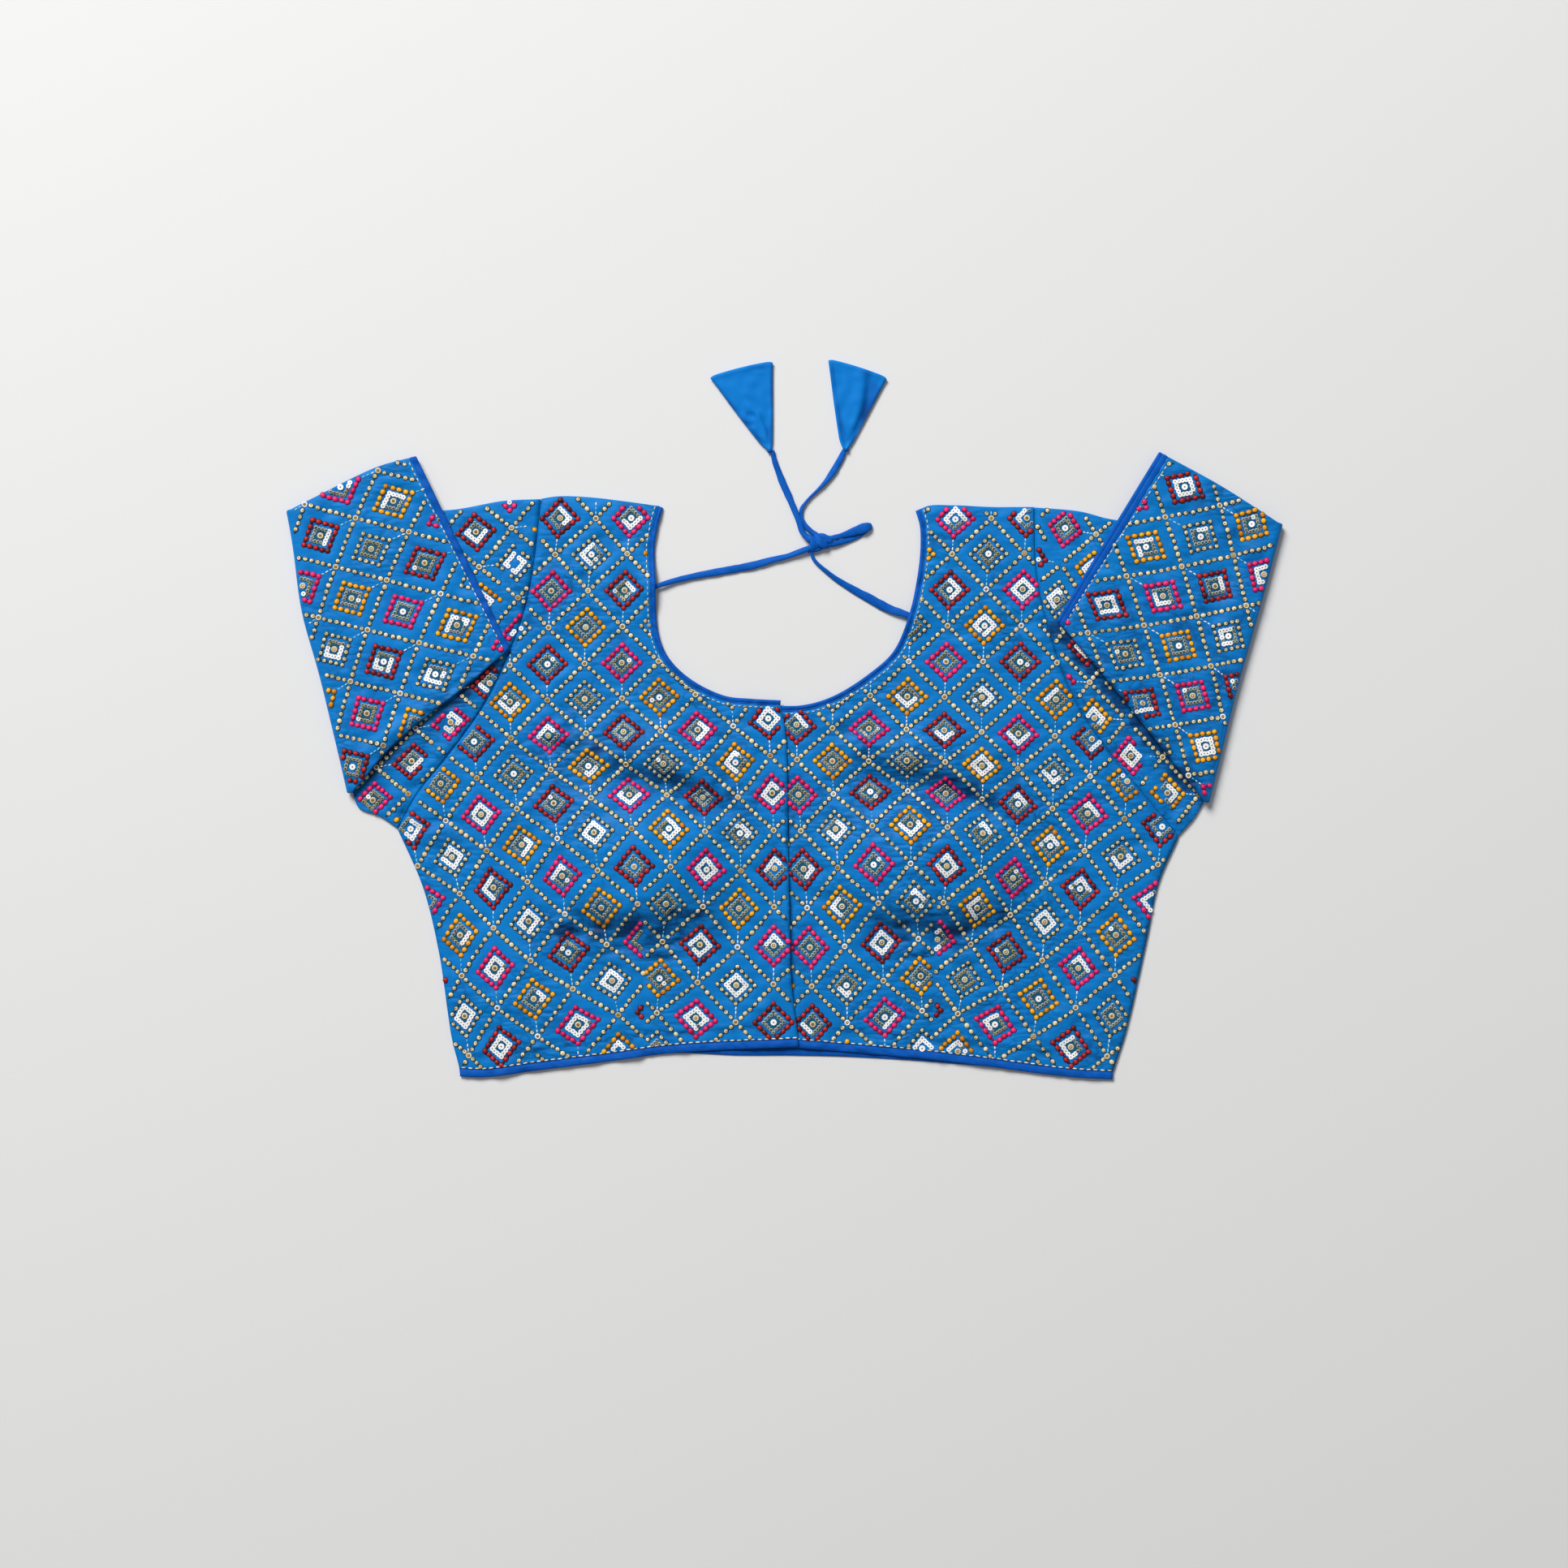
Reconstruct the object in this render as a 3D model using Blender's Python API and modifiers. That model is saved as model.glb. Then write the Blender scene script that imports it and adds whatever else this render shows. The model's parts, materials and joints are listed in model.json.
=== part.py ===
"""Choli blouse, laid flat on a surface with its front up.

The back panel lies on the surface and the two fronts lie on it. Each sleeve is a
tube folded flat, laid out sideways and then folded forward over itself. A tie
crosses the open back neck in a bow, with a folded fabric end piece on each tail.

Tables are in millimetres: x to the viewer's right, y from the hem towards the
neck, z up from the surface. "left" is the viewer's left, looking down at the front.
"""

import bpy
import numpy as np

MM = 0.001

# ------------------------------------------------------------ driving sizes, mm
WALL = 1.2            # cloth with its embroidery
GAP = 0.3             # between pieces at a seam and between layers
LAYER = WALL + GAP    # from one layer's middle to the next one's
BACK_Z = WALL / 2     # middle of the back panel
FRONT_Z = BACK_Z + LAYER
FOLD_R = 2.6          # middle radius of the roll where a sleeve turns over
OVERLAP = 12.0        # the left front covers the right one by this
NECK_BAND = 3.0       # width of the neck piping
HEM_BAND = 5.0        # width of the hem binding
CUFF_BAND = {"left": 3.8, "right": 6.0}
BUST_HEIGHT = 12.0    # fullness given by the darts
TIE_D = 3.7           # the rolled tie's diameter
LATKAN_T = 3.2        # thickness of a folded end piece
CENTRE_X = 3.0        # the back's centre line
SHIFT_X, SHIFT_Y = -0.05, -0.31   # puts the origin at the middle of the blouse

# Columns: x, y. Neck edge of each front, from centre front up to the shoulder.
NECK = {
    "left": [(-2.4, 43.6), (-22.6, 44.7), (-39.6, 46.8), (-62.0, 58.0), (-76.3, 72.4), (-82.7, 88.8),
             (-84.3, 121.8), (-84.9, 144.7), (-82.7, 158.0), (-79.5, 169.7)],
    "right": [(-11.0, 40.4), (11.4, 40.4), (31.7, 46.3), (55.6, 61.2), (71.6, 76.1), (82.2, 102.1),
              (88.0, 131.4), (89.1, 145.8), (88.6, 158.0), (85.9, 167.6)],
}
# Columns: x, y. Neck edge of the back, a little outside the front one, from its middle.
BACK_NECK = {
    "left": [(3.0, 37.5), (-22.6, 39.6), (-41.0, 42.6), (-65.0, 54.6), (-79.8, 70.2), (-86.7, 88.0),
             (-88.3, 121.8), (-87.6, 146.0), (-84.2, 159.0), (-79.5, 169.7)],
    "right": [(3.0, 37.5), (12.0, 38.0), (33.0, 42.6), (58.5, 58.2), (75.3, 74.4), (86.2, 101.5),
              (92.0, 131.0), (91.8, 147.0), (90.0, 158.5), (85.9, 167.6)],
}
# Columns: x, y. Centre-front edge of the upper (left) front, from hem to neck.
PLACKET = [(9.3, -183.0), (7.7, -168.6), (4.5, -139.4), (3.5, -109.1), (2.4, -50.5), (1.9, -1.6), (0.8, 21.8), (-2.4, 43.6)]
# Columns: x, y. Side seam, from hem to underarm.
SIDE = {
    "left": [(-212.5, -202.7), (-217.3, -179.8), (-226.4, -120.2), (-237.0, -77.7), (-253.5, -40.4)],
    "right": [(214.7, -204.8), (223.7, -172.9), (237.5, -111.7), (245.0, -76.1), (258.3, -45.2)],
}
# Columns: x, y. Armhole seam, from underarm to shoulder.
ARMHOLE = {
    "left": [(-253.5, -40.4), (-240.2, -17.0), (-220.5, 7.4), (-195.5, 42.6), (-179.0, 77.7), (-168.9, 107.5), (-163.6, 137.3), (-159.3, 175.6)],
    "right": [(258.3, -45.2), (226.4, -7.4), (206.7, 17.6), (188.6, 47.3), (170.0, 101.6), (164.7, 131.4), (163.6, 170.2)],
}
# Columns: x, y. Shoulder seam, from armhole to neck.
SHOULDER = {
    "left": [(-159.3, 175.6), (-148.2, 177.2), (-128.5, 176.6), (-89.6, 171.8), (-79.5, 169.7)],
    "right": [(163.6, 170.2), (134.9, 170.2), (110.9, 171.3), (94.4, 171.0), (85.9, 167.6)],
}
# Columns: x, y. Hem edge of each front, from side seam to centre front.
HEM = {
    "left": [(-212.5, -202.7), (-196.6, -203.2), (-158.8, -198.4), (-120.5, -193.6), (-72.1, -187.3), (9.3, -183.0)],
    "right": [(214.7, -204.8), (183.3, -202.7), (122.1, -194.7), (84.9, -190.5), (-3.0, -183.0)],
}
# Columns: x, y. Hem edge of the back, which shows below the fronts at the centre.
BACK_HEM = {
    "left": [(-212.5, -201.6), (-141.8, -193.1), (-72.1, -187.6), (-30.0, -189.0), (3.0, -189.0)],
    "right": [(214.7, -203.8), (150.8, -197.9), (84.9, -192.4), (40.0, -189.8), (3.0, -189.0)],
}
# Columns: x, y, as they lie. A sleeve's edges under the fold (from armhole to fold)
# and over it (from fold to cuff); "top" runs on from the shoulder, "low" from the underarm.
SLEEVE = {
    "left": {
        "under_top": [(-159.3, 175.6), (-183.8, 174.5), (-218.4, 168.6), (-274.8, 168.1), (-322.3, 168.6)],
        "under_low": [(-253.5, -40.4), (-265.2, -32.5), (-278.5, -27.1), (-282.3, -16.8)],
        "over_top": [(-322.3, 168.6), (-311.0, 174.5), (-266.8, 196.3), (-241.8, 203.2)],
        "over_low": [(-282.3, -16.8), (-253.5, 16.0), (-233.8, 32.5), (-207.2, 53.2), (-179.0, 77.7)],
    },
    "right": {
        "under_top": [(163.6, 170.2), (193.4, 167.6), (214.7, 162.3), (257.2, 159.1), (322.5, 160.0)],
        "under_low": [(258.3, -45.2), (268.0, -34.0), (274.2, -23.0)],
        "over_top": [(322.5, 160.0), (286.5, 183.5), (246.6, 205.4)],
        "over_low": [(274.2, -23.0), (243.4, 16.0), (215.2, 51.1), (176.9, 96.8)],
    },
}
# One row per mound or fold of the fronts: middle x, y, direction in degrees,
# half length, half width, height.
FORMS = [
    # name,                 x,     y,  turn, half_l, half_w, height
    ("bust_left",        -90.0, -52.0,   0.0,  60.0,  56.0, BUST_HEIGHT),
    ("bust_right",        92.0, -52.0,   0.0,  60.0,  56.0, BUST_HEIGHT),
    ("upper_fold_left", -112.0,   2.0,  -8.0,  42.0,   7.0,  1.6),
    ("upper_fold_right", 110.0,   4.0,  10.0,  40.0,   7.0,  1.5),
    ("under_fold_left", -118.0, -112.0, 14.0,  34.0,   6.0,  1.4),
    ("under_fold_right", 120.0, -108.0, -16.0, 36.0,   6.0,  1.5),
    ("tie_rise_left",    -85.0, 118.0,   0.0,  12.0,  12.0,  3.4),
    ("tie_rise_right",    83.0, 100.0,   0.0,  12.0,  12.0,  3.4),
]
# The upper front edge stands a little off the lower one here: y, half length, height.
EDGE_LIFT = (-109.0, 38.0, 2.4)

# Columns: x, y, z of the middle line of each stretch of the tie.
TIE = {
    "dori_left": [(-80.4, 119.6, 1.95), (-58.8, 125.6, 1.95), (-34.3, 129.3, 1.95), (-14.6, 134.6, 2.0), (1.9, 138.3, 2.4), (14.2, 142.3, 3.2)],
    "dori_right": [(77.8, 101.4, 1.95), (63.6, 106.4, 1.95), (47.6, 115.4, 1.95), (34.3, 124.0, 2.0), (25.6, 131.4, 2.2), (21.4, 138.6, 3.0)],
    "bow_loop": [(31.2, 148.2, 4.2), (43.9, 153.2, 2.4), (53.0, 157.4, 1.95), (57.4, 157.2, 1.95), (55.2, 153.6, 1.95), (44.0, 148.0, 1.95), (32.0, 143.6, 2.4)],
    "tail_left": [(16.6, 151.2, 3.4), (10.6, 156.0, 2.2), (6.0, 168.0, 1.95), (-0.8, 184.0, 1.95), (-7.2, 200.0, 1.95), (-8.6, 205.6, 1.95)],
    "tail_right": [(22.6, 152.6, 3.4), (17.2, 157.6, 2.2), (13.8, 165.0, 1.95), (14.4, 171.8, 1.95), (19.4, 178.6, 1.95), (29.5, 188.3, 1.95), (37.0, 201.1, 1.95), (39.0, 206.2, 1.95)],
}
KNOT = dict(x=23.1, y=145.6, z=3.5, half_l=6.6, half_w=4.6, half_h=3.4, turn=12.0)
# Columns: x, y. Corners of each folded end piece, the tail's end first.
LATKAN = {
    "latkan_left": [(-8.8, 206.4), (-48.9, 255.2), (-8.4, 265.5)],
    "latkan_right": [(39.6, 207.0), (29.2, 267.3), (66.8, 255.2)],
}

COLOURS = {
    # name: (colour, roughness)
    "embroidered_cloth": ((0.010, 0.205, 0.610, 1), 0.55),
    "binding_cloth": ((0.006, 0.120, 0.560, 1), 0.60),
    "satin_cloth": ((0.012, 0.200, 0.600, 1), 0.38),
}


# ------------------------------------------------------------ curves
def smooth(points, closed_ends=True, per=12):
    """A dense smooth curve through a table's points (centripetal Catmull-Rom)."""
    p = np.asarray(points, float)
    if len(p) == 2:
        t = np.linspace(0, 1, per + 1)[:, None]
        return p[0] * (1 - t) + p[1] * t
    first, last = 2 * p[0] - p[1], 2 * p[-1] - p[-2]
    p = np.vstack([first, p, last])
    out = []
    for a, b, c, d in zip(p[:-3], p[1:-2], p[2:-1], p[3:]):
        t1 = np.linalg.norm(b - a) ** 0.5
        t2 = t1 + np.linalg.norm(c - b) ** 0.5
        t3 = t2 + np.linalg.norm(d - c) ** 0.5
        t = np.linspace(t1, t2, per, endpoint=False)[:, None]
        ab = a * (t1 - t) / t1 + b * t / t1
        bc = b * (t2 - t) / (t2 - t1) + c * (t - t1) / (t2 - t1)
        cd = c * (t3 - t) / (t3 - t2) + d * (t - t2) / (t3 - t2)
        abc = ab * (t2 - t) / t2 + bc * t / t2
        bcd = bc * (t3 - t) / (t3 - t1) + cd * (t - t1) / (t3 - t1)
        out.append(abc * (t2 - t) / (t2 - t1) + bcd * (t - t1) / (t2 - t1))
    return np.vstack(out + [p[-2:-1]])


def along(line, shares):
    """Points at the given shares of a dense line's length."""
    step = np.r_[0, np.cumsum(np.linalg.norm(np.diff(line, axis=0), axis=1))]
    return np.stack([np.interp(np.asarray(shares) * step[-1], step, line[:, k]) for k in range(line.shape[1])], 1)


def split(line, start, end, count):
    return along(line, np.linspace(start, end, count + 1))


def beside(line, base, shares):
    """Points of a line offset from a base, next to the base's points at these shares."""
    step = np.r_[0, np.cumsum(np.linalg.norm(np.diff(base, axis=0), axis=1))]
    at = np.interp(np.asarray(shares) * step[-1], step, np.arange(len(base)))
    return np.stack([np.interp(at, np.arange(len(line)), line[:, k]) for k in range(2)], 1)


def offset(line, distance):
    """The line moved sideways, to the left of its direction where distance is positive."""
    d = np.gradient(line, axis=0)
    d /= np.linalg.norm(d, axis=1)[:, None]
    return line + distance * np.stack([-d[:, 1], d[:, 0]], 1)


def length(line):
    return np.linalg.norm(np.diff(line, axis=0), axis=1).sum()


def patch(low, top, start, end):
    """A four-sided patch filled between its edges (a bilinear Coons patch)."""
    u = np.linspace(0, 1, len(low))[None, :, None]
    v = np.linspace(0, 1, len(start))[:, None, None]
    ruled_v = low[None] * (1 - v) + top[None] * v
    ruled_u = start[:, None] * (1 - u) + end[:, None] * u
    corners = (low[0] * (1 - u) + low[-1] * u) * (1 - v) + (top[0] * (1 - u) + top[-1] * u) * v
    return ruled_v + ruled_u - corners


# ------------------------------------------------------------ heights
def ease(t):
    t = np.clip(t, 0, 1)
    return t * t * (3 - 2 * t)


def front_z(x, y, side):
    """Middle height of a front panel, and of the sleeve beside it."""
    z = np.full(np.shape(x), FRONT_Z)
    for name, cx, cy, turn, half_l, half_w, height in FORMS:
        c, s = np.cos(np.radians(turn)), np.sin(np.radians(turn))
        a = ((x - cx) * c + (y - cy) * s) / half_l
        b = (-(x - cx) * s + (y - cy) * c) / half_w
        z = z + height * np.exp(-((a * a + b * b) ** 1.35))
    if side == "left":
        y0, half, height = EDGE_LIFT
        z = z + LAYER * ease((x + 40.0) / 24.0)
        z = z + height * np.exp(-(((y - y0) / half) ** 2)) * ease((x + 10.0) / 12.0)
    return z


# ------------------------------------------------------------ meshes
def new_object(name, points, faces, material, solid=WALL):
    """An open surface in millimetres, thickened to a shell."""
    mesh = bpy.data.meshes.new(name)
    shift = np.array([SHIFT_X, SHIFT_Y, 0.0])
    mesh.from_pydata([tuple(p) for p in (np.asarray(points) + shift) * MM], [], [tuple(int(i) for i in f) for f in faces])
    mesh.validate()
    mesh.shade_smooth()
    obj = bpy.data.objects.new(name, mesh)
    PARTS.objects.link(obj)
    obj.data.materials.append(MATERIALS[material])
    if solid:
        shell = obj.modifiers.new("cloth", "SOLIDIFY")
        shell.thickness = solid * MM
        shell.offset = 0.0
        shell.use_even_offset = False
    return obj


def grid_faces(rows, cols, start=0, ring=False):
    faces = []
    for r in range(rows - 1):
        for c in range(cols if ring else cols - 1):
            n = (c + 1) % cols
            a, b = start + r * cols + c, start + r * cols + n
            faces.append((a, b, b + cols, a + cols))
    return faces


def merged(points, faces):
    """Points that coincide made one."""
    keys, first, index = np.unique(np.round(points, 4), axis=0, return_index=True, return_inverse=True)
    index = index.reshape(-1)
    return points[first], [tuple(index[list(f)]) for f in faces]


def facing_up(points, faces):
    """Faces of a height field turned so that they face up."""
    out = []
    for f in faces:
        p = points[list(f)]
        area = np.sum(p[:, 0] * np.roll(p[:, 1], -1) - np.roll(p[:, 0], -1) * p[:, 1])
        out.append(tuple(f) if area > 0 else tuple(f)[::-1])
    return out


# ------------------------------------------------------------ panels
ARM_CUT, NECK_CUT, HEM_CUT = 0.40, 0.42, 0.62   # where the patches meet, as shares of each edge


def neck_shares(columns, rows):
    return np.r_[np.linspace(0, NECK_CUT, columns[1] + 1), np.linspace(NECK_CUT, 1, rows[2] + 1)[1:]]


def arm_shares(rows):
    return np.r_[np.linspace(0, ARM_CUT, rows[1] + 1), np.linspace(ARM_CUT, 1, rows[2] + 1)[1:]]


def hem_shares(columns):
    return np.r_[np.linspace(0, HEM_CUT, columns[0] + 1), np.linspace(HEM_CUT, 1, columns[1] + 1)[1:]]


def panel_edges(side, back=False):
    """The panel's edges, set back by its bindings and half of each seam's gap."""
    sign = 1.0 if side == "left" else -1.0
    neck = smooth(BACK_NECK[side] if back else NECK[side])
    hem = smooth(BACK_HEM[side] if back else HEM[side])
    neck_in = offset(neck, sign * (NECK_BAND + GAP))
    hem_in = offset(hem, sign * (HEM_BAND + GAP))
    if back:   # both halves meet at these two points
        neck_in[0] = (CENTRE_X, neck[0][1] - NECK_BAND - GAP)
        hem_in[-1] = (CENTRE_X, hem[-1][1] + HEM_BAND + GAP)
    return neck, neck_in, hem, hem_in


def armhole(side, rows, outward):
    """The armhole seam's points, set back by half of the gap towards the body or the sleeve."""
    base = smooth(ARMHOLE[side])
    sign = (1.0 if side == "left" else -1.0) * (1.0 if outward else -1.0)
    return beside(offset(base, sign * GAP / 2), base, arm_shares(rows))


def panel(side, back, columns, rows):
    """The points and faces of one half of the body: a lower patch from the hem to
    the underarm and neck, and an upper one beside the neck."""
    shoulder_n, neck_n = columns
    side_n, arm_n, upper_n = rows
    neck, neck_in, hem, hem_in = panel_edges(side, back)
    arm = armhole(side, rows, False)
    if back:
        centre = smooth([hem_in[-1], (hem_in[-1] + neck_in[0]) / 2, neck_in[0]])
    elif side == "left":
        centre = smooth([hem_in[-1]] + PLACKET[1:-1] + [neck_in[0]])
    else:
        centre = smooth([hem_in[-1]] + [(x - OVERLAP, y) for x, y in PLACKET[1:-1]] + [neck_in[0]])
    seam = smooth([hem_in[0]] + SIDE[side][1:-1] + [arm[0]])
    neck_at = beside(neck_in, neck, neck_shares(columns, rows))
    outer_low = np.vstack([split(seam, 0, 1, side_n), arm[1:arm_n + 1]])
    outer_up = arm[arm_n:]
    inner_low = split(centre, 0, 1, side_n + arm_n)
    inner_up = neck_at[neck_n:]
    low = beside(hem_in, hem, hem_shares(columns))
    across = np.linspace(0, 1, shoulder_n + 1)[:, None]
    across = outer_low[-1] * (1 - across) + inner_up[0] * across
    top = np.vstack([across, neck_at[:neck_n][::-1]])
    shoulder = split(smooth([outer_up[-1]] + SHOULDER[side][1:-1] + [inner_up[-1]]), 0, 1, shoulder_n)
    inner_low[-1] = top[-1]
    lower = patch(low, top, outer_low, inner_low)
    upper = patch(across, shoulder, outer_up, inner_up)
    points = np.vstack([lower.reshape(-1, 2), upper.reshape(-1, 2)])
    faces = grid_faces(*lower.shape[:2]) + grid_faces(*upper.shape[:2], start=lower.shape[0] * lower.shape[1])
    return points, faces


def band_of(edge, width, shares):
    """A strip along an edge, as its outer and inner rows of points."""
    return np.stack([beside(edge, edge, shares), beside(offset(edge, width), edge, shares)])


def raised(points, side, back):
    x, y = points[:, 0], points[:, 1]
    z = np.full(len(x), BACK_Z) if back else front_z(x, y, side)
    return np.column_stack([points, z])


FRONT_GRID = (8, 7), (6, 4, 7)   # (shoulder, neck) columns, (side, armhole, upper) rows
BACK_GRID = (5, 6), (4, 4, 7)
SLEEVE_GRID = (6, 6, 7)          # sections under the fold, round it and over it


def build_body():
    for side in ("left", "right"):
        points, faces = panel(side, False, *FRONT_GRID)
        points, faces = merged(raised(points, side, False), faces)
        new_object(f"front_{side}", points, facing_up(points, faces), "embroidered_cloth")
        neck, _, hem, _ = panel_edges(side)
        sign = 1.0 if side == "left" else -1.0
        for name, edge, band, shares in (("neck", neck, NECK_BAND, neck_shares(*FRONT_GRID)),
                                         ("hem", hem, HEM_BAND, hem_shares(FRONT_GRID[0]))):
            rows = band_of(edge, sign * band, shares)
            points = raised(rows.reshape(-1, 2), side, False)
            new_object(f"{name}_binding_{side}", points, facing_up(points, grid_faces(*rows.shape[:2])), "binding_cloth")
    points, faces, edges = [], [], {}
    for side in ("left", "right"):
        p, f = panel(side, True, *BACK_GRID)
        faces += [tuple(i + sum(map(len, points)) for i in face) for face in f]
        points.append(p)
        edges[side] = panel_edges(side, True)
    points, faces = merged(raised(np.vstack(points), None, True), faces)
    new_object("back_panel", points, facing_up(points, faces), "embroidered_cloth")
    for name, at, band, shares in (("neck", 0, NECK_BAND, neck_shares(*BACK_GRID)),
                                   ("hem", 2, HEM_BAND, hem_shares(BACK_GRID[0]))):
        left = band_of(edges["left"][at], band, shares)
        right = band_of(edges["right"][at], -band, shares)
        turn = slice(None, None, -1)
        if at == 0:   # from one shoulder round the neck to the other
            rows = np.concatenate([left[:, turn][:, :-1], right], axis=1)
            middle = left.shape[1] - 1
        else:         # from one side seam to the other
            rows = np.concatenate([left[:, :-1], right[:, turn]], axis=1)
            middle = left.shape[1] - 1
        rows[1, middle] = rows[0, middle] + (0, band if at else -band)
        points = raised(rows.reshape(-1, 2), None, True)
        new_object(f"{name}_binding_back", points, facing_up(points, grid_faces(*rows.shape[:2])), "binding_cloth")


# ------------------------------------------------------------ sleeves
def sleeve_rings(side, rows, stations):
    """Rings of a flattened tube from the armhole, round the fold, to the cuff.
    Returns the rings of the sleeve and those of its cuff binding."""
    t = SLEEVE[side]
    under_n, bend_n, over_n = stations
    sign = -1.0 if side == "left" else 1.0          # outward along x
    arm = armhole(side, rows, True)[::-1]
    across = len(arm) - 1
    share_across = 1 - arm_shares(rows)[::-1][:, None]
    fold_top, fold_low = np.array(t["under_top"][-1]), np.array(t["under_low"][-1])
    fold = fold_top * (1 - share_across) + fold_low * share_across
    along_fold = (fold_low - fold_top) / np.linalg.norm(fold_low - fold_top)
    outward = np.array([-along_fold[1], along_fold[0]]) * (1.0 if sign > 0 else -1.0)
    outward *= np.sign(outward[0]) * sign

    under_top = smooth([arm[0]] + t["under_top"][1:])
    under_low = smooth([arm[-1]] + t["under_low"][1:])
    under = patch(split(under_top, 0, 1, under_n), split(under_low, 0, 1, under_n),
                  arm, fold)
    over_top, over_low = smooth(t["over_top"]), smooth(t["over_low"])
    cuff = over_top[-1] * (1 - share_across) + over_low[-1] * share_across
    band = CUFF_BAND[side]
    reach = 0.5 * (length(over_top) + length(over_low))
    stops = np.r_[np.linspace(0, 1 - (band + GAP) / reach, over_n + 1), 1 - band / reach, 1]

    def over_at(share):
        a, b = along(over_top, [share])[0], along(over_low, [share])[0]
        line = fold * (1 - share) + cuff * share
        k = share_across
        return line + (a - line[0]) * (1 - k) + (b - line[-1]) * k

    half = LAYER / 2
    middle_z = BACK_Z + half

    def ring(line, middle, up, out_dir):
        """One closed section: the front layer, the low edge, the back layer, the top edge."""
        run = np.gradient(line, axis=0)
        run /= np.linalg.norm(run, axis=1)[:, None]
        inset = half + WALL / 2
        line = line.copy()
        line[0] += run[0] * inset
        line[-1] -= run[-1] * inset
        flat = np.column_stack([line, middle])
        front = flat + up * half
        back = (flat - up * half)[::-1]
        turns = np.radians([45, 0, -45])
        low_edge = [flat[-1] + np.append(run[-1], 0) * half * np.cos(a) + up[-1] * half * np.sin(a) for a in turns]
        top_edge = [flat[0] - np.append(run[0], 0) * half * np.cos(a) - up[0] * half * np.sin(a) for a in turns]
        return np.vstack([front, low_edge, back, top_edge])

    rings = []
    z_up = np.tile([0.0, 0.0, 1.0], (across + 1, 1))
    for k in range(under_n + 1):
        line = under[:, k]
        rings.append(ring(line, np.full(across + 1, middle_z), z_up, outward))
    for k in range(1, bend_n):
        a = np.pi * k / bend_n
        line = fold + outward * FOLD_R * np.sin(a)
        up = np.tile([-outward[0] * np.sin(a), -outward[1] * np.sin(a), np.cos(a)], (across + 1, 1))
        middle = np.full(across + 1, middle_z + FOLD_R * (1 - np.cos(a)))
        rings.append(ring(line, middle, up, outward))
    over = []
    for share in stops:
        line = over_at(share)
        from_fold = -(line - fold_top) @ outward
        middle = middle_z + 2 * LAYER + (2 * FOLD_R - 2 * LAYER) * np.exp(-((from_fold / 24.0) ** 2))
        middle = middle + rest_on_front(line, side)
        over.append(ring(line, middle, -z_up, outward))
    return rings + over[:-2], over[-2:]


def rest_on_front(line, side):
    """How much the cloth below a flap stands above its flat height."""
    return front_z(line[:, 0], line[:, 1], "none") - FRONT_Z


def build_sleeves():
    for side in ("left", "right"):
        sleeve, cuff = sleeve_rings(side, FRONT_GRID[1], SLEEVE_GRID)
        for name, rings, material in ((f"sleeve_{side}", sleeve, "embroidered_cloth"), (f"cuff_binding_{side}", cuff, "binding_cloth")):
            points = np.vstack(rings)
            faces = grid_faces(len(rings), len(rings[0]), ring=True)
            new_object(name, points, faces, material)


# ------------------------------------------------------------ tie and end pieces
def tube(name, route):
    line = smooth(route)
    count = max(5, int(round(length(line) / (2.3 * TIE_D))))
    points = split(line, 0, 1, count)
    curve = bpy.data.curves.new(name, "CURVE")
    curve.dimensions = "3D"
    curve.bevel_depth = TIE_D / 2 * MM
    curve.bevel_resolution = 2
    curve.use_fill_caps = True
    spline = curve.splines.new("POLY")
    spline.points.add(len(points) - 1)
    for at, p in zip(spline.points, points):
        at.co = ((p[0] + SHIFT_X) * MM, (p[1] + SHIFT_Y) * MM, p[2] * MM, 1)
    obj = bpy.data.objects.new(name, curve)
    PARTS.objects.link(obj)
    curve.materials.append(MATERIALS["binding_cloth"])
    return obj


def build_tie():
    for name, route in TIE.items():
        tube(name, route)
    bpy.ops.mesh.primitive_uv_sphere_add(segments=14, ring_count=9, radius=1)
    knot = bpy.context.object
    knot.name = knot.data.name = "knot"
    knot.scale = (KNOT["half_l"] * MM, KNOT["half_w"] * MM, KNOT["half_h"] * MM)
    knot.rotation_euler = (0, 0, np.radians(KNOT["turn"]))
    knot.location = ((KNOT["x"] + SHIFT_X) * MM, (KNOT["y"] + SHIFT_Y) * MM, KNOT["z"] * MM)
    bpy.ops.object.transform_apply(location=True, rotation=True, scale=True)
    for used in list(knot.users_collection):
        used.objects.unlink(knot)
    PARTS.objects.link(knot)
    knot.data.materials.append(MATERIALS["binding_cloth"])
    for name, corners in LATKAN.items():
        curve = bpy.data.curves.new(name, "CURVE")
        curve.dimensions = "2D"
        curve.fill_mode = "BOTH"
        curve.extrude = LATKAN_T / 2 * MM
        spline = curve.splines.new("POLY")
        spline.points.add(2)
        for at, (x, y) in zip(spline.points, corners):
            at.co = ((x + SHIFT_X) * MM, (y + SHIFT_Y) * MM, 0, 1)
        spline.use_cyclic_u = True
        obj = bpy.data.objects.new(name, curve)
        obj.location = (0, 0, (LATKAN_T / 2 + 0.05) * MM)
        PARTS.objects.link(obj)
        curve.materials.append(MATERIALS["satin_cloth"])


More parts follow.
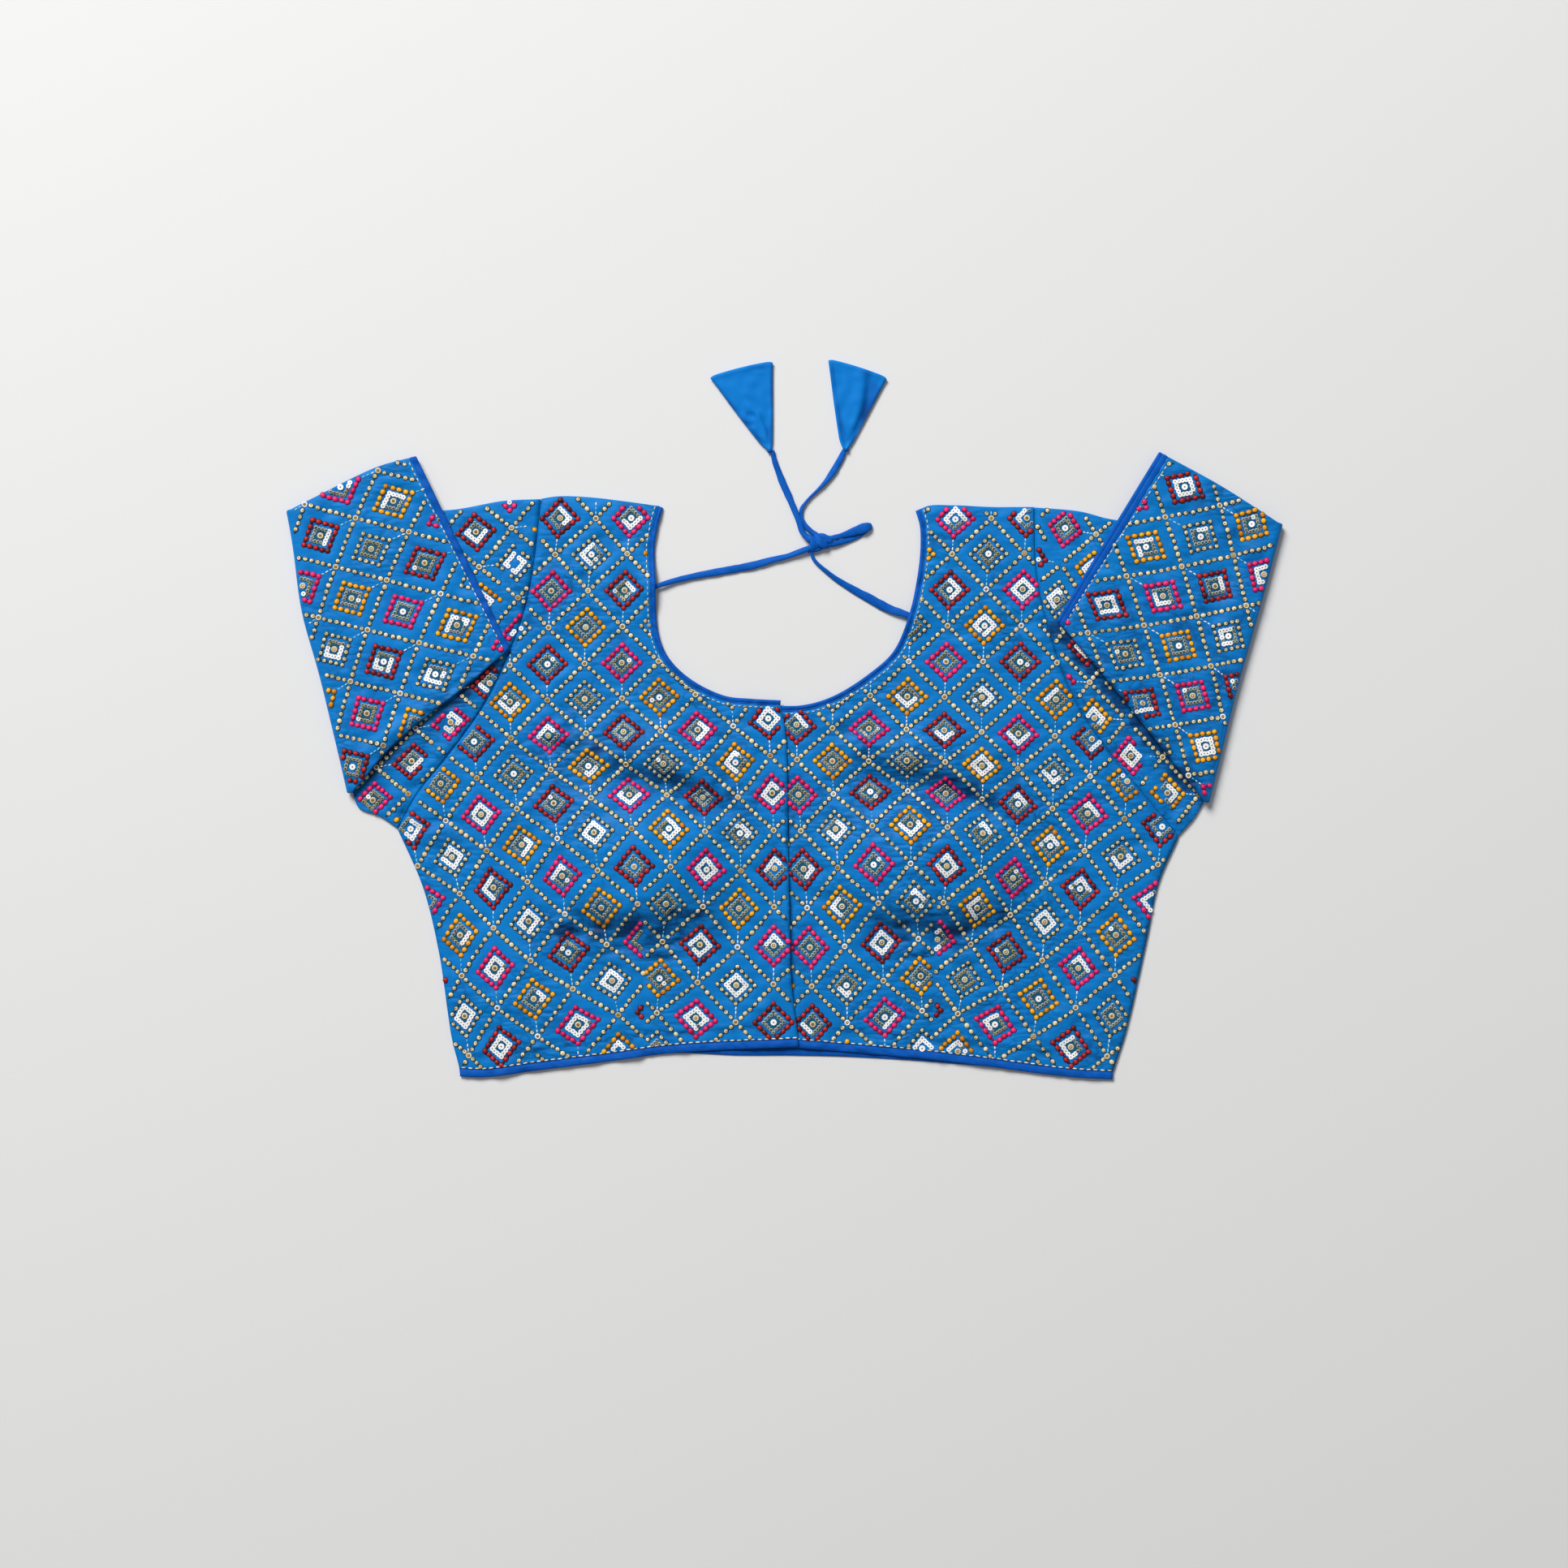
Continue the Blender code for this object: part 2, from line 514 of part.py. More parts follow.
# ------------------------------------------------------------ the blouse
for old in list(bpy.data.objects):
    bpy.data.objects.remove(old)
PARTS = bpy.data.collections.new("choli_blouse")
bpy.context.scene.collection.children.link(PARTS)
MATERIALS = {}
for label, (colour, roughness) in COLOURS.items():
    made = bpy.data.materials.new(label)
    made.use_nodes = True
    made.diffuse_color = colour
    shader = made.node_tree.nodes["Principled BSDF"]
    shader.inputs["Base Color"].default_value = colour
    shader.inputs["Roughness"].default_value = roughness
    shader.inputs["Metallic"].default_value = 0.0
    MATERIALS[label] = made

build_body()
build_sleeves()
build_tie()
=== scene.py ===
"""Looks of the choli blouse: cloth shells with their folds, the embroidery as real
stitches and sequins, rolled bindings, the tie with its knot and bow, and satin end pieces.

Tables are in millimetres, as in the part's own source: x to the viewer's right, y from
the hem towards the neck, z up from the surface.
"""

import json

import bpy
import numpy as np
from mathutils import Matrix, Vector
from mathutils.bvhtree import BVHTree

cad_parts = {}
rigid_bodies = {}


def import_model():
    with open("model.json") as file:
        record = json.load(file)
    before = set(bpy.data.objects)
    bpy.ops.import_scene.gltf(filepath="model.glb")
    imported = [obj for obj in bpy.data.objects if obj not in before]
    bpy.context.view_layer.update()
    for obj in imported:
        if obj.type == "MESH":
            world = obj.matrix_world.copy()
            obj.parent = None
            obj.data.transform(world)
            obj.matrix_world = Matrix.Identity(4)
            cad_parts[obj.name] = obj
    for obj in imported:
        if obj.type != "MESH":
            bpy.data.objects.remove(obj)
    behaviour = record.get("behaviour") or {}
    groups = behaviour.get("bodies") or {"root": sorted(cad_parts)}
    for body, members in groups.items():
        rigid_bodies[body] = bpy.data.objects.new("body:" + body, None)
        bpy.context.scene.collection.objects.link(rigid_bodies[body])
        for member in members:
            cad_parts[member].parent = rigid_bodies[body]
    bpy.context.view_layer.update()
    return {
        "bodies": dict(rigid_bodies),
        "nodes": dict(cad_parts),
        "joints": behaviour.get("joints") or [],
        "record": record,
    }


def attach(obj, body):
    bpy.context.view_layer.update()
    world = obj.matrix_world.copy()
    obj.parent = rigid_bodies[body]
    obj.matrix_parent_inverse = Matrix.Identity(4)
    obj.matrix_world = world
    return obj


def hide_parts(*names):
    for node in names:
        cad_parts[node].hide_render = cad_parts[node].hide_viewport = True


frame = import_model()
MM = 0.001


# ------------------------------------------------------------ camera
VIEW_X, VIEW_Y, VIEW_WIDTH, VIEW_HEIGHT = -0.32, -11.48, 1027.8, 2000.0


def build_camera():
    data = bpy.data.cameras.new("camera")
    data.sensor_width = 36.0
    data.sensor_fit = "HORIZONTAL"
    data.lens = 36.0 * VIEW_HEIGHT / VIEW_WIDTH
    data.clip_start, data.clip_end = 0.05, 20.0
    camera = bpy.data.objects.new("camera", data)
    bpy.context.scene.collection.objects.link(camera)
    camera.location = (VIEW_X * MM, VIEW_Y * MM, VIEW_HEIGHT * MM)
    camera.rotation_euler = (0.0, 0.0, 0.0)
    bpy.context.scene.camera = camera


build_camera()

# ------------------------------------------------------------ driving sizes, mm
WALL = 1.2            # cloth with its embroidery
GAP = 0.3             # between pieces at a seam and between layers
LAYER = WALL + GAP    # from one layer's middle to the next one's
BACK_Z = WALL / 2     # middle of the back panel
FRONT_Z = BACK_Z + LAYER
FOLD_R = 2.6          # middle radius of the roll where a sleeve turns over
OVERLAP = 12.0        # the left front covers the right one by this
NECK_BAND = 3.0       # width of the neck piping
HEM_BAND = 5.0        # width of the hem binding
CUFF_BAND = {"left": 3.8, "right": 6.0}
BUST_HEIGHT = 12.0    # fullness given by the darts
TIE_D = 3.7           # the rolled tie's diameter
LATKAN_T = 3.2        # thickness of a folded end piece
CENTRE_X = 3.0        # the back's centre line
SHIFT_X, SHIFT_Y = -0.05, -0.31   # puts the origin at the middle of the blouse

# Columns: x, y. Neck edge of each front, from centre front up to the shoulder.
NECK = {
    "left": [(-2.4, 43.6), (-22.6, 44.7), (-39.6, 46.8), (-62.0, 58.0), (-76.3, 72.4), (-82.7, 88.8),
             (-84.3, 121.8), (-84.9, 144.7), (-82.7, 158.0), (-79.5, 169.7)],
    "right": [(-11.0, 40.4), (11.4, 40.4), (31.7, 46.3), (55.6, 61.2), (71.6, 76.1), (82.2, 102.1),
              (88.0, 131.4), (89.1, 145.8), (88.6, 158.0), (85.9, 167.6)],
}
# Columns: x, y. Neck edge of the back, a little outside the front one, from its middle.
BACK_NECK = {
    "left": [(3.0, 37.5), (-22.6, 39.6), (-41.0, 42.6), (-65.0, 54.6), (-79.8, 70.2), (-86.7, 88.0),
             (-88.3, 121.8), (-87.6, 146.0), (-84.2, 159.0), (-79.5, 169.7)],
    "right": [(3.0, 37.5), (12.0, 38.0), (33.0, 42.6), (58.5, 58.2), (75.3, 74.4), (86.2, 101.5),
              (92.0, 131.0), (91.8, 147.0), (90.0, 158.5), (85.9, 167.6)],
}
# Columns: x, y. Centre-front edge of the upper (left) front, from hem to neck.
PLACKET = [(9.3, -183.0), (7.7, -168.6), (4.5, -139.4), (3.5, -109.1), (2.4, -50.5), (1.9, -1.6), (0.8, 21.8), (-2.4, 43.6)]
# Columns: x, y. Side seam, from hem to underarm.
SIDE = {
    "left": [(-212.5, -202.7), (-217.3, -179.8), (-226.4, -120.2), (-237.0, -77.7), (-253.5, -40.4)],
    "right": [(214.7, -204.8), (223.7, -172.9), (237.5, -111.7), (245.0, -76.1), (258.3, -45.2)],
}
# Columns: x, y. Armhole seam, from underarm to shoulder.
ARMHOLE = {
    "left": [(-253.5, -40.4), (-240.2, -17.0), (-220.5, 7.4), (-195.5, 42.6), (-179.0, 77.7), (-168.9, 107.5), (-163.6, 137.3), (-159.3, 175.6)],
    "right": [(258.3, -45.2), (226.4, -7.4), (206.7, 17.6), (188.6, 47.3), (170.0, 101.6), (164.7, 131.4), (163.6, 170.2)],
}
# Columns: x, y. Shoulder seam, from armhole to neck.
SHOULDER = {
    "left": [(-159.3, 175.6), (-148.2, 177.2), (-128.5, 176.6), (-89.6, 171.8), (-79.5, 169.7)],
    "right": [(163.6, 170.2), (134.9, 170.2), (110.9, 171.3), (94.4, 171.0), (85.9, 167.6)],
}
# Columns: x, y. Hem edge of each front, from side seam to centre front.
HEM = {
    "left": [(-212.5, -202.7), (-196.6, -203.2), (-158.8, -198.4), (-120.5, -193.6), (-72.1, -187.3), (9.3, -183.0)],
    "right": [(214.7, -204.8), (183.3, -202.7), (122.1, -194.7), (84.9, -190.5), (-3.0, -183.0)],
}
# Columns: x, y. Hem edge of the back, which shows below the fronts at the centre.
BACK_HEM = {
    "left": [(-212.5, -201.6), (-141.8, -193.1), (-72.1, -187.6), (-30.0, -189.0), (3.0, -189.0)],
    "right": [(214.7, -203.8), (150.8, -197.9), (84.9, -192.4), (40.0, -189.8), (3.0, -189.0)],
}
# Columns: x, y, as they lie. A sleeve's edges under the fold (from armhole to fold)
# and over it (from fold to cuff); "top" runs on from the shoulder, "low" from the underarm.
SLEEVE = {
    "left": {
        "under_top": [(-159.3, 175.6), (-183.8, 174.5), (-218.4, 168.6), (-274.8, 168.1), (-322.3, 168.6)],
        "under_low": [(-253.5, -40.4), (-265.2, -32.5), (-278.5, -27.1), (-282.3, -16.8)],
        "over_top": [(-322.3, 168.6), (-311.0, 174.5), (-266.8, 196.3), (-241.8, 203.2)],
        "over_low": [(-282.3, -16.8), (-253.5, 16.0), (-233.8, 32.5), (-207.2, 53.2), (-179.0, 77.7)],
    },
    "right": {
        "under_top": [(163.6, 170.2), (193.4, 167.6), (214.7, 162.3), (257.2, 159.1), (322.5, 160.0)],
        "under_low": [(258.3, -45.2), (268.0, -34.0), (274.2, -23.0)],
        "over_top": [(322.5, 160.0), (286.5, 183.5), (246.6, 205.4)],
        "over_low": [(274.2, -23.0), (243.4, 16.0), (215.2, 51.1), (176.9, 96.8)],
    },
}
# One row per mound or fold of the fronts: middle x, y, direction in degrees,
# half length, half width, height.
FORMS = [
    # name,                 x,     y,  turn, half_l, half_w, height
    ("bust_left",        -90.0, -52.0,   0.0,  60.0,  56.0, BUST_HEIGHT),
    ("bust_right",        92.0, -52.0,   0.0,  60.0,  56.0, BUST_HEIGHT),
    ("upper_fold_left", -112.0,   2.0,  -8.0,  42.0,   7.0,  1.6),
    ("upper_fold_right", 110.0,   4.0,  10.0,  40.0,   7.0,  1.5),
    ("under_fold_left", -118.0, -112.0, 14.0,  34.0,   6.0,  1.4),
    ("under_fold_right", 120.0, -108.0, -16.0, 36.0,   6.0,  1.5),
    ("tie_rise_left",    -85.0, 118.0,   0.0,  12.0,  12.0,  3.4),
    ("tie_rise_right",    83.0, 100.0,   0.0,  12.0,  12.0,  3.4),
]
# The upper front edge stands a little off the lower one here: y, half length, height.
EDGE_LIFT = (-109.0, 38.0, 2.4)

# Columns: x, y, z of the middle line of each stretch of the tie.
TIE = {
    "dori_left": [(-80.4, 119.6, 1.95), (-58.8, 125.6, 1.95), (-34.3, 129.3, 1.95), (-14.6, 134.6, 2.0), (1.9, 138.3, 2.4), (14.2, 142.3, 3.2)],
    "dori_right": [(77.8, 101.4, 1.95), (63.6, 106.4, 1.95), (47.6, 115.4, 1.95), (34.3, 124.0, 2.0), (25.6, 131.4, 2.2), (21.4, 138.6, 3.0)],
    "bow_loop": [(31.2, 148.2, 4.2), (43.9, 153.2, 2.4), (53.0, 157.4, 1.95), (57.4, 157.2, 1.95), (55.2, 153.6, 1.95), (44.0, 148.0, 1.95), (32.0, 143.6, 2.4)],
    "tail_left": [(16.6, 151.2, 3.4), (10.6, 156.0, 2.2), (6.0, 168.0, 1.95), (-0.8, 184.0, 1.95), (-7.2, 200.0, 1.95), (-8.6, 205.6, 1.95)],
    "tail_right": [(22.6, 152.6, 3.4), (17.2, 157.6, 2.2), (13.8, 165.0, 1.95), (14.4, 171.8, 1.95), (19.4, 178.6, 1.95), (29.5, 188.3, 1.95), (37.0, 201.1, 1.95), (39.0, 206.2, 1.95)],
}
KNOT = dict(x=23.1, y=145.6, z=3.5, half_l=6.6, half_w=4.6, half_h=3.4, turn=12.0)
# Columns: x, y. Corners of each folded end piece, the tail's end first.
LATKAN = {
    "latkan_left": [(-8.8, 206.4), (-48.9, 255.2), (-8.4, 265.5)],
    "latkan_right": [(39.6, 207.0), (29.2, 267.3), (66.8, 255.2)],
}

# ------------------------------------------------------------ curves
def smooth(points, closed_ends=True, per=12):
    """A dense smooth curve through a table's points (centripetal Catmull-Rom)."""
    p = np.asarray(points, float)
    if len(p) == 2:
        t = np.linspace(0, 1, per + 1)[:, None]
        return p[0] * (1 - t) + p[1] * t
    first, last = 2 * p[0] - p[1], 2 * p[-1] - p[-2]
    p = np.vstack([first, p, last])
    out = []
    for a, b, c, d in zip(p[:-3], p[1:-2], p[2:-1], p[3:]):
        t1 = np.linalg.norm(b - a) ** 0.5
        t2 = t1 + np.linalg.norm(c - b) ** 0.5
        t3 = t2 + np.linalg.norm(d - c) ** 0.5
        t = np.linspace(t1, t2, per, endpoint=False)[:, None]
        ab = a * (t1 - t) / t1 + b * t / t1
        bc = b * (t2 - t) / (t2 - t1) + c * (t - t1) / (t2 - t1)
        cd = c * (t3 - t) / (t3 - t2) + d * (t - t2) / (t3 - t2)
        abc = ab * (t2 - t) / t2 + bc * t / t2
        bcd = bc * (t3 - t) / (t3 - t1) + cd * (t - t1) / (t3 - t1)
        out.append(abc * (t2 - t) / (t2 - t1) + bcd * (t - t1) / (t2 - t1))
    return np.vstack(out + [p[-2:-1]])


def along(line, shares):
    """Points at the given shares of a dense line's length."""
    step = np.r_[0, np.cumsum(np.linalg.norm(np.diff(line, axis=0), axis=1))]
    return np.stack([np.interp(np.asarray(shares) * step[-1], step, line[:, k]) for k in range(line.shape[1])], 1)


def split(line, start, end, count):
    return along(line, np.linspace(start, end, count + 1))


def beside(line, base, shares):
    """Points of a line offset from a base, next to the base's points at these shares."""
    step = np.r_[0, np.cumsum(np.linalg.norm(np.diff(base, axis=0), axis=1))]
    at = np.interp(np.asarray(shares) * step[-1], step, np.arange(len(base)))
    return np.stack([np.interp(at, np.arange(len(line)), line[:, k]) for k in range(2)], 1)


def offset(line, distance):
    """The line moved sideways, to the left of its direction where distance is positive."""
    d = np.gradient(line, axis=0)
    d /= np.linalg.norm(d, axis=1)[:, None]
    return line + distance * np.stack([-d[:, 1], d[:, 0]], 1)


def length(line):
    return np.linalg.norm(np.diff(line, axis=0), axis=1).sum()


def patch(low, top, start, end):
    """A four-sided patch filled between its edges (a bilinear Coons patch)."""
    u = np.linspace(0, 1, len(low))[None, :, None]
    v = np.linspace(0, 1, len(start))[:, None, None]
    ruled_v = low[None] * (1 - v) + top[None] * v
    ruled_u = start[:, None] * (1 - u) + end[:, None] * u
    corners = (low[0] * (1 - u) + low[-1] * u) * (1 - v) + (top[0] * (1 - u) + top[-1] * u) * v
    return ruled_v + ruled_u - corners


# ------------------------------------------------------------ heights
def ease(t):
    t = np.clip(t, 0, 1)
    return t * t * (3 - 2 * t)


def front_z(x, y, side):
    """Middle height of a front panel, and of the sleeve beside it."""
    z = np.full(np.shape(x), FRONT_Z)
    for name, cx, cy, turn, half_l, half_w, height in FORMS:
        c, s = np.cos(np.radians(turn)), np.sin(np.radians(turn))
        a = ((x - cx) * c + (y - cy) * s) / half_l
        b = (-(x - cx) * s + (y - cy) * c) / half_w
        z = z + height * np.exp(-((a * a + b * b) ** 1.35))
    if side == "left":
        y0, half, height = EDGE_LIFT
        z = z + LAYER * ease((x + 40.0) / 24.0)
        z = z + height * np.exp(-(((y - y0) / half) ** 2)) * ease((x + 10.0) / 12.0)
    return z


def grid_faces(rows, cols, start=0, ring=False):
    faces = []
    for r in range(rows - 1):
        for c in range(cols if ring else cols - 1):
            n = (c + 1) % cols
            a, b = start + r * cols + c, start + r * cols + n
            faces.append((a, b, b + cols, a + cols))
    return faces


def merged(points, faces):
    """Points that coincide made one."""
    keys, first, index = np.unique(np.round(points, 4), axis=0, return_index=True, return_inverse=True)
    index = index.reshape(-1)
    return points[first], [tuple(index[list(f)]) for f in faces]


def facing_up(points, faces):
    """Faces of a height field turned so that they face up."""
    out = []
    for f in faces:
        p = points[list(f)]
        area = np.sum(p[:, 0] * np.roll(p[:, 1], -1) - np.roll(p[:, 0], -1) * p[:, 1])
        out.append(tuple(f) if area > 0 else tuple(f)[::-1])
    return out


# ------------------------------------------------------------ panels
ARM_CUT, NECK_CUT, HEM_CUT = 0.40, 0.42, 0.62   # where the patches meet, as shares of each edge


def neck_shares(columns, rows):
    return np.r_[np.linspace(0, NECK_CUT, columns[1] + 1), np.linspace(NECK_CUT, 1, rows[2] + 1)[1:]]


def arm_shares(rows):
    return np.r_[np.linspace(0, ARM_CUT, rows[1] + 1), np.linspace(ARM_CUT, 1, rows[2] + 1)[1:]]


def hem_shares(columns):
    return np.r_[np.linspace(0, HEM_CUT, columns[0] + 1), np.linspace(HEM_CUT, 1, columns[1] + 1)[1:]]


def panel_edges(side, back=False):
    """The panel's edges, set back by its bindings and half of each seam's gap."""
    sign = 1.0 if side == "left" else -1.0
    neck = smooth(BACK_NECK[side] if back else NECK[side])
    hem = smooth(BACK_HEM[side] if back else HEM[side])
    neck_in = offset(neck, sign * (NECK_BAND + GAP))
    hem_in = offset(hem, sign * (HEM_BAND + GAP))
    if back:   # both halves meet at these two points
        neck_in[0] = (CENTRE_X, neck[0][1] - NECK_BAND - GAP)
        hem_in[-1] = (CENTRE_X, hem[-1][1] + HEM_BAND + GAP)
    return neck, neck_in, hem, hem_in


def armhole(side, rows, outward):
    """The armhole seam's points, set back by half of the gap towards the body or the sleeve."""
    base = smooth(ARMHOLE[side])
    sign = (1.0 if side == "left" else -1.0) * (1.0 if outward else -1.0)
    return beside(offset(base, sign * GAP / 2), base, arm_shares(rows))


def panel(side, back, columns, rows):
    """The points and faces of one half of the body: a lower patch from the hem to
    the underarm and neck, and an upper one beside the neck."""
    shoulder_n, neck_n = columns
    side_n, arm_n, upper_n = rows
    neck, neck_in, hem, hem_in = panel_edges(side, back)
    arm = armhole(side, rows, False)
    if back:
        centre = smooth([hem_in[-1], (hem_in[-1] + neck_in[0]) / 2, neck_in[0]])
    elif side == "left":
        centre = smooth([hem_in[-1]] + PLACKET[1:-1] + [neck_in[0]])
    else:
        centre = smooth([hem_in[-1]] + [(x - OVERLAP, y) for x, y in PLACKET[1:-1]] + [neck_in[0]])
    seam = smooth([hem_in[0]] + SIDE[side][1:-1] + [arm[0]])
    neck_at = beside(neck_in, neck, neck_shares(columns, rows))
    outer_low = np.vstack([split(seam, 0, 1, side_n), arm[1:arm_n + 1]])
    outer_up = arm[arm_n:]
    inner_low = split(centre, 0, 1, side_n + arm_n)
    inner_up = neck_at[neck_n:]
    low = beside(hem_in, hem, hem_shares(columns))
    across = np.linspace(0, 1, shoulder_n + 1)[:, None]
    across = outer_low[-1] * (1 - across) + inner_up[0] * across
    top = np.vstack([across, neck_at[:neck_n][::-1]])
    shoulder = split(smooth([outer_up[-1]] + SHOULDER[side][1:-1] + [inner_up[-1]]), 0, 1, shoulder_n)
    inner_low[-1] = top[-1]
    lower = patch(low, top, outer_low, inner_low)
    upper = patch(across, shoulder, outer_up, inner_up)
    points = np.vstack([lower.reshape(-1, 2), upper.reshape(-1, 2)])
    faces = grid_faces(*lower.shape[:2]) + grid_faces(*upper.shape[:2], start=lower.shape[0] * lower.shape[1])
    return points, faces


def band_of(edge, width, shares):
    """A strip along an edge, as its outer and inner rows of points."""
    return np.stack([beside(edge, edge, shares), beside(offset(edge, width), edge, shares)])



# ------------------------------------------------------------ the embroidery's chart
# The repeat is a lattice of diamonds. Whole numbers (i, j) are the middles of the motifs and
# halves are the crossings of the lattice lines. Each panel has its own map from (i, j) to
# millimetres, with how the cloth was cut, darted and stretched over the bust.
MAROON, GOLD, MUSTARD, PINK = "maroon", "cream", "mustard", "pink"
# Coefficients for u = i - j and v = i + j: U^m V^n with U = u / 6 and V = (v - 5) / 6, in the
# order m 0..3, n 0..3 - m; then two terms beside the dart and three over the bust.
FRONT_MAP = {
    "left": ([-105.46, 7.04, 8.73, -0.95, 143.96, -6.55, -10.73, -1.09, 5.55, -2.11, -6.2, -4.78, 6.44, 3.51, 0.44, -0.16],
             [-5.1, -146.0, -0.1, 1.39, 3.39, -3.62, -3.06, 9.67, -4.56, 17.42, -3.61, 3.31, 6.59, 12.33, -2.29, 1.95]),
    "right": ([104.11, -4.16, -2.46, -3.97, -141.7, 10.71, 9.05, 1.83, 5.43, -1.42, 4.69, 5.39, -4.19, 2.14, -1.92, 1.66],
              [-4.22, -146.77, -2.16, 1.16, -0.1, 0.23, -1.03, 3.86, -1.06, 14.26, -2.27, 4.39, 6.42, 15.12, 0.09, 2.02]),
}
# Middle line of each waist dart: x at these heights y.
DART = {"left": [(-92.6, -80.0), (-92.0, -120.0), (-91.0, -200.0)], "right": [(98.2, -90.0), (98.0, -200.0)]}
DART_TOP = -78.0
# Sleeves: origin x, y; step along i; step along j; colours of (even, even), (odd, even),
# (even, odd), (odd, odd); and the corner from which a thread runs on to the crossing.
SLEEVE_MAP = {
    "left_top": ((-201.9, 153.7), (25.5, -20.2), (-21.3, -25.5), (MAROON, GOLD, PINK, MUSTARD), (-1, 1)),
    "left_low": ((-243.9, 3.7), (20.7, -17.6), (-25.5, -25.5), (MAROON, GOLD, PINK, MUSTARD), (-1, 1)),
    "right_top": ((183.8, 156.4), (17.6, -27.7), (-22.9, -19.2), (PINK, MUSTARD, MAROON, GOLD), (1, -1)),
    "right_low": ((203.0, 31.9), (23.9, -24.5), (-17.6, -22.3), (MUSTARD, PINK, GOLD, MAROON), (1, -1)),
}
# Flaps: coefficients of (i/2)^m (j/2)^n in the order m 0..2, n 0..2 - m.
FLAP_MAP = {
    "left": ([-303.19, -24.25, 3.41, 64.44, -6.0, 3.69], [150.98, -64.61, -2.08, -16.93, 2.15, -0.78],
             (MAROON, GOLD, PINK, MUSTARD), (1, -1)),
    "right": ([261.62, 72.23, -4.96, 21.78, -6.61, -1.9], [182.92, 15.22, 1.93, -64.42, -1.12, -0.44],
              (MAROON, GOLD, PINK, MUSTARD), (-1, -1)),
}
FRONT_COLOURS = (MAROON, GOLD, MUSTARD, PINK)
MOTIF, SEQUINS = 0.247, 0.132       # half side of the knotted square and of the sequin ring, in cells
KNOTS_A_SIDE, SEQUINS_A_SIDE, LINE_KNOTS = 5, 5, 7


def front_map(side, i, j, branch):
    """Where lattice point (i, j) lies on a front. branch is "side" or "centre" of the dart."""
    i, j = np.asarray(i, float), np.asarray(j, float)
    far_u, far_v = i - j, i + j
    u, v = np.clip(far_u, -6, 4), np.clip(far_v, -2, 12)
    U, V = u / 6, (v - 5) / 6
    s = np.maximum(0.0, v - 8)
    near = s * np.exp(-((u / 3.0) ** 2))
    g = np.exp(-((u - 1) ** 2 + (v - 6.8) ** 2) / 9)
    none = np.zeros_like(s)
    terms = [U ** m * V ** n for m in range(4) for n in range(4 - m)]
    terms += [s, none, near] if branch == "side" else [none, near, none]
    terms += [g, g * (u - 1), g * (v - 6.8)]
    cx, cy = FRONT_MAP[side]
    x, y = sum(c * t for c, t in zip(cx, terms)), sum(c * t for c, t in zip(cy, terms))
    # straight on beyond the charted part
    return np.stack([x + (24.7 if side == "left" else -24.7) * (far_u - u), y - 24.7 * (far_v - v)], -1)


def sleeve_map(name, i, j):
    origin, a, b = (np.array(p) for p in SLEEVE_MAP[name][:3])
    return origin + np.asarray(i, float)[..., None] * a + np.asarray(j, float)[..., None] * b


def flap_map(side, i, j):
    i, j = np.asarray(i, float) / 2, np.asarray(j, float) / 2
    terms = [i ** m * j ** n for m in range(3) for n in range(3 - m)]
    cx, cy = FLAP_MAP[side][:2]
    return np.stack([sum(c * t for c, t in zip(cx, terms)), sum(c * t for c, t in zip(cy, terms))], -1)


# ------------------------------------------------------------ materials
def srgb(*value):
    """A colour written as 0..255, for the shader."""
    c = np.array(value[:3], float) / 255
    return tuple(np.where(c <= 0.04045, c / 12.92, ((c + 0.055) / 1.055) ** 2.4)) + (1.0,)


def shader(name, colour, roughness, sheen=0.0, tint=(1, 1, 1, 1), specular=0.3, coat=0.0):
    made = bpy.data.materials.new(name)
    made.use_nodes = True
    made.diffuse_color = colour
    bsdf = made.node_tree.nodes["Principled BSDF"]
    bsdf.inputs["Base Color"].default_value = colour
    bsdf.inputs["Roughness"].default_value = roughness
    bsdf.inputs["Specular IOR Level"].default_value = specular
    bsdf.inputs["Sheen Weight"].default_value = sheen
    bsdf.inputs["Sheen Roughness"].default_value = 0.45
    bsdf.inputs["Sheen Tint"].default_value = tint
    bsdf.inputs["Coat Weight"].default_value = coat
    bsdf.inputs["Coat Roughness"].default_value = 0.12
    return made, made.node_tree, bsdf


def node(tree, kind, **inputs):
    made = tree.nodes.new(kind)
    for name, value in inputs.items():
        if name in made.inputs:
            made.inputs[name].default_value = value
        else:
            setattr(made, name, value)
    return made


def maths(tree, operation, a, b=None):
    made = tree.nodes.new("ShaderNodeMath")
    made.operation = operation
    for socket, value in zip(made.inputs, (a, b)):
        if value is None:
            continue
        if isinstance(value, (int, float)):
            socket.default_value = value
        else:
            tree.links.new(value, socket)
    return made.outputs[0]


def place(tree, turn=0.0):
    """The piece's own coordinates in metres, turned about z."""
    at = node(tree, "ShaderNodeTexCoord")
    mapping = node(tree, "ShaderNodeMapping")
    mapping.inputs["Rotation"].default_value = (0.0, 0.0, np.radians(turn))
    tree.links.new(at.outputs["Object"], mapping.inputs["Vector"])
    return mapping.outputs["Vector"]


def noise(tree, vector, scale, detail=2.0, roughness=0.5):
    made = node(tree, "ShaderNodeTexNoise", Scale=scale, Detail=detail, Roughness=roughness)
    tree.links.new(vector, made.inputs["Vector"])
    return made.outputs["Fac"]


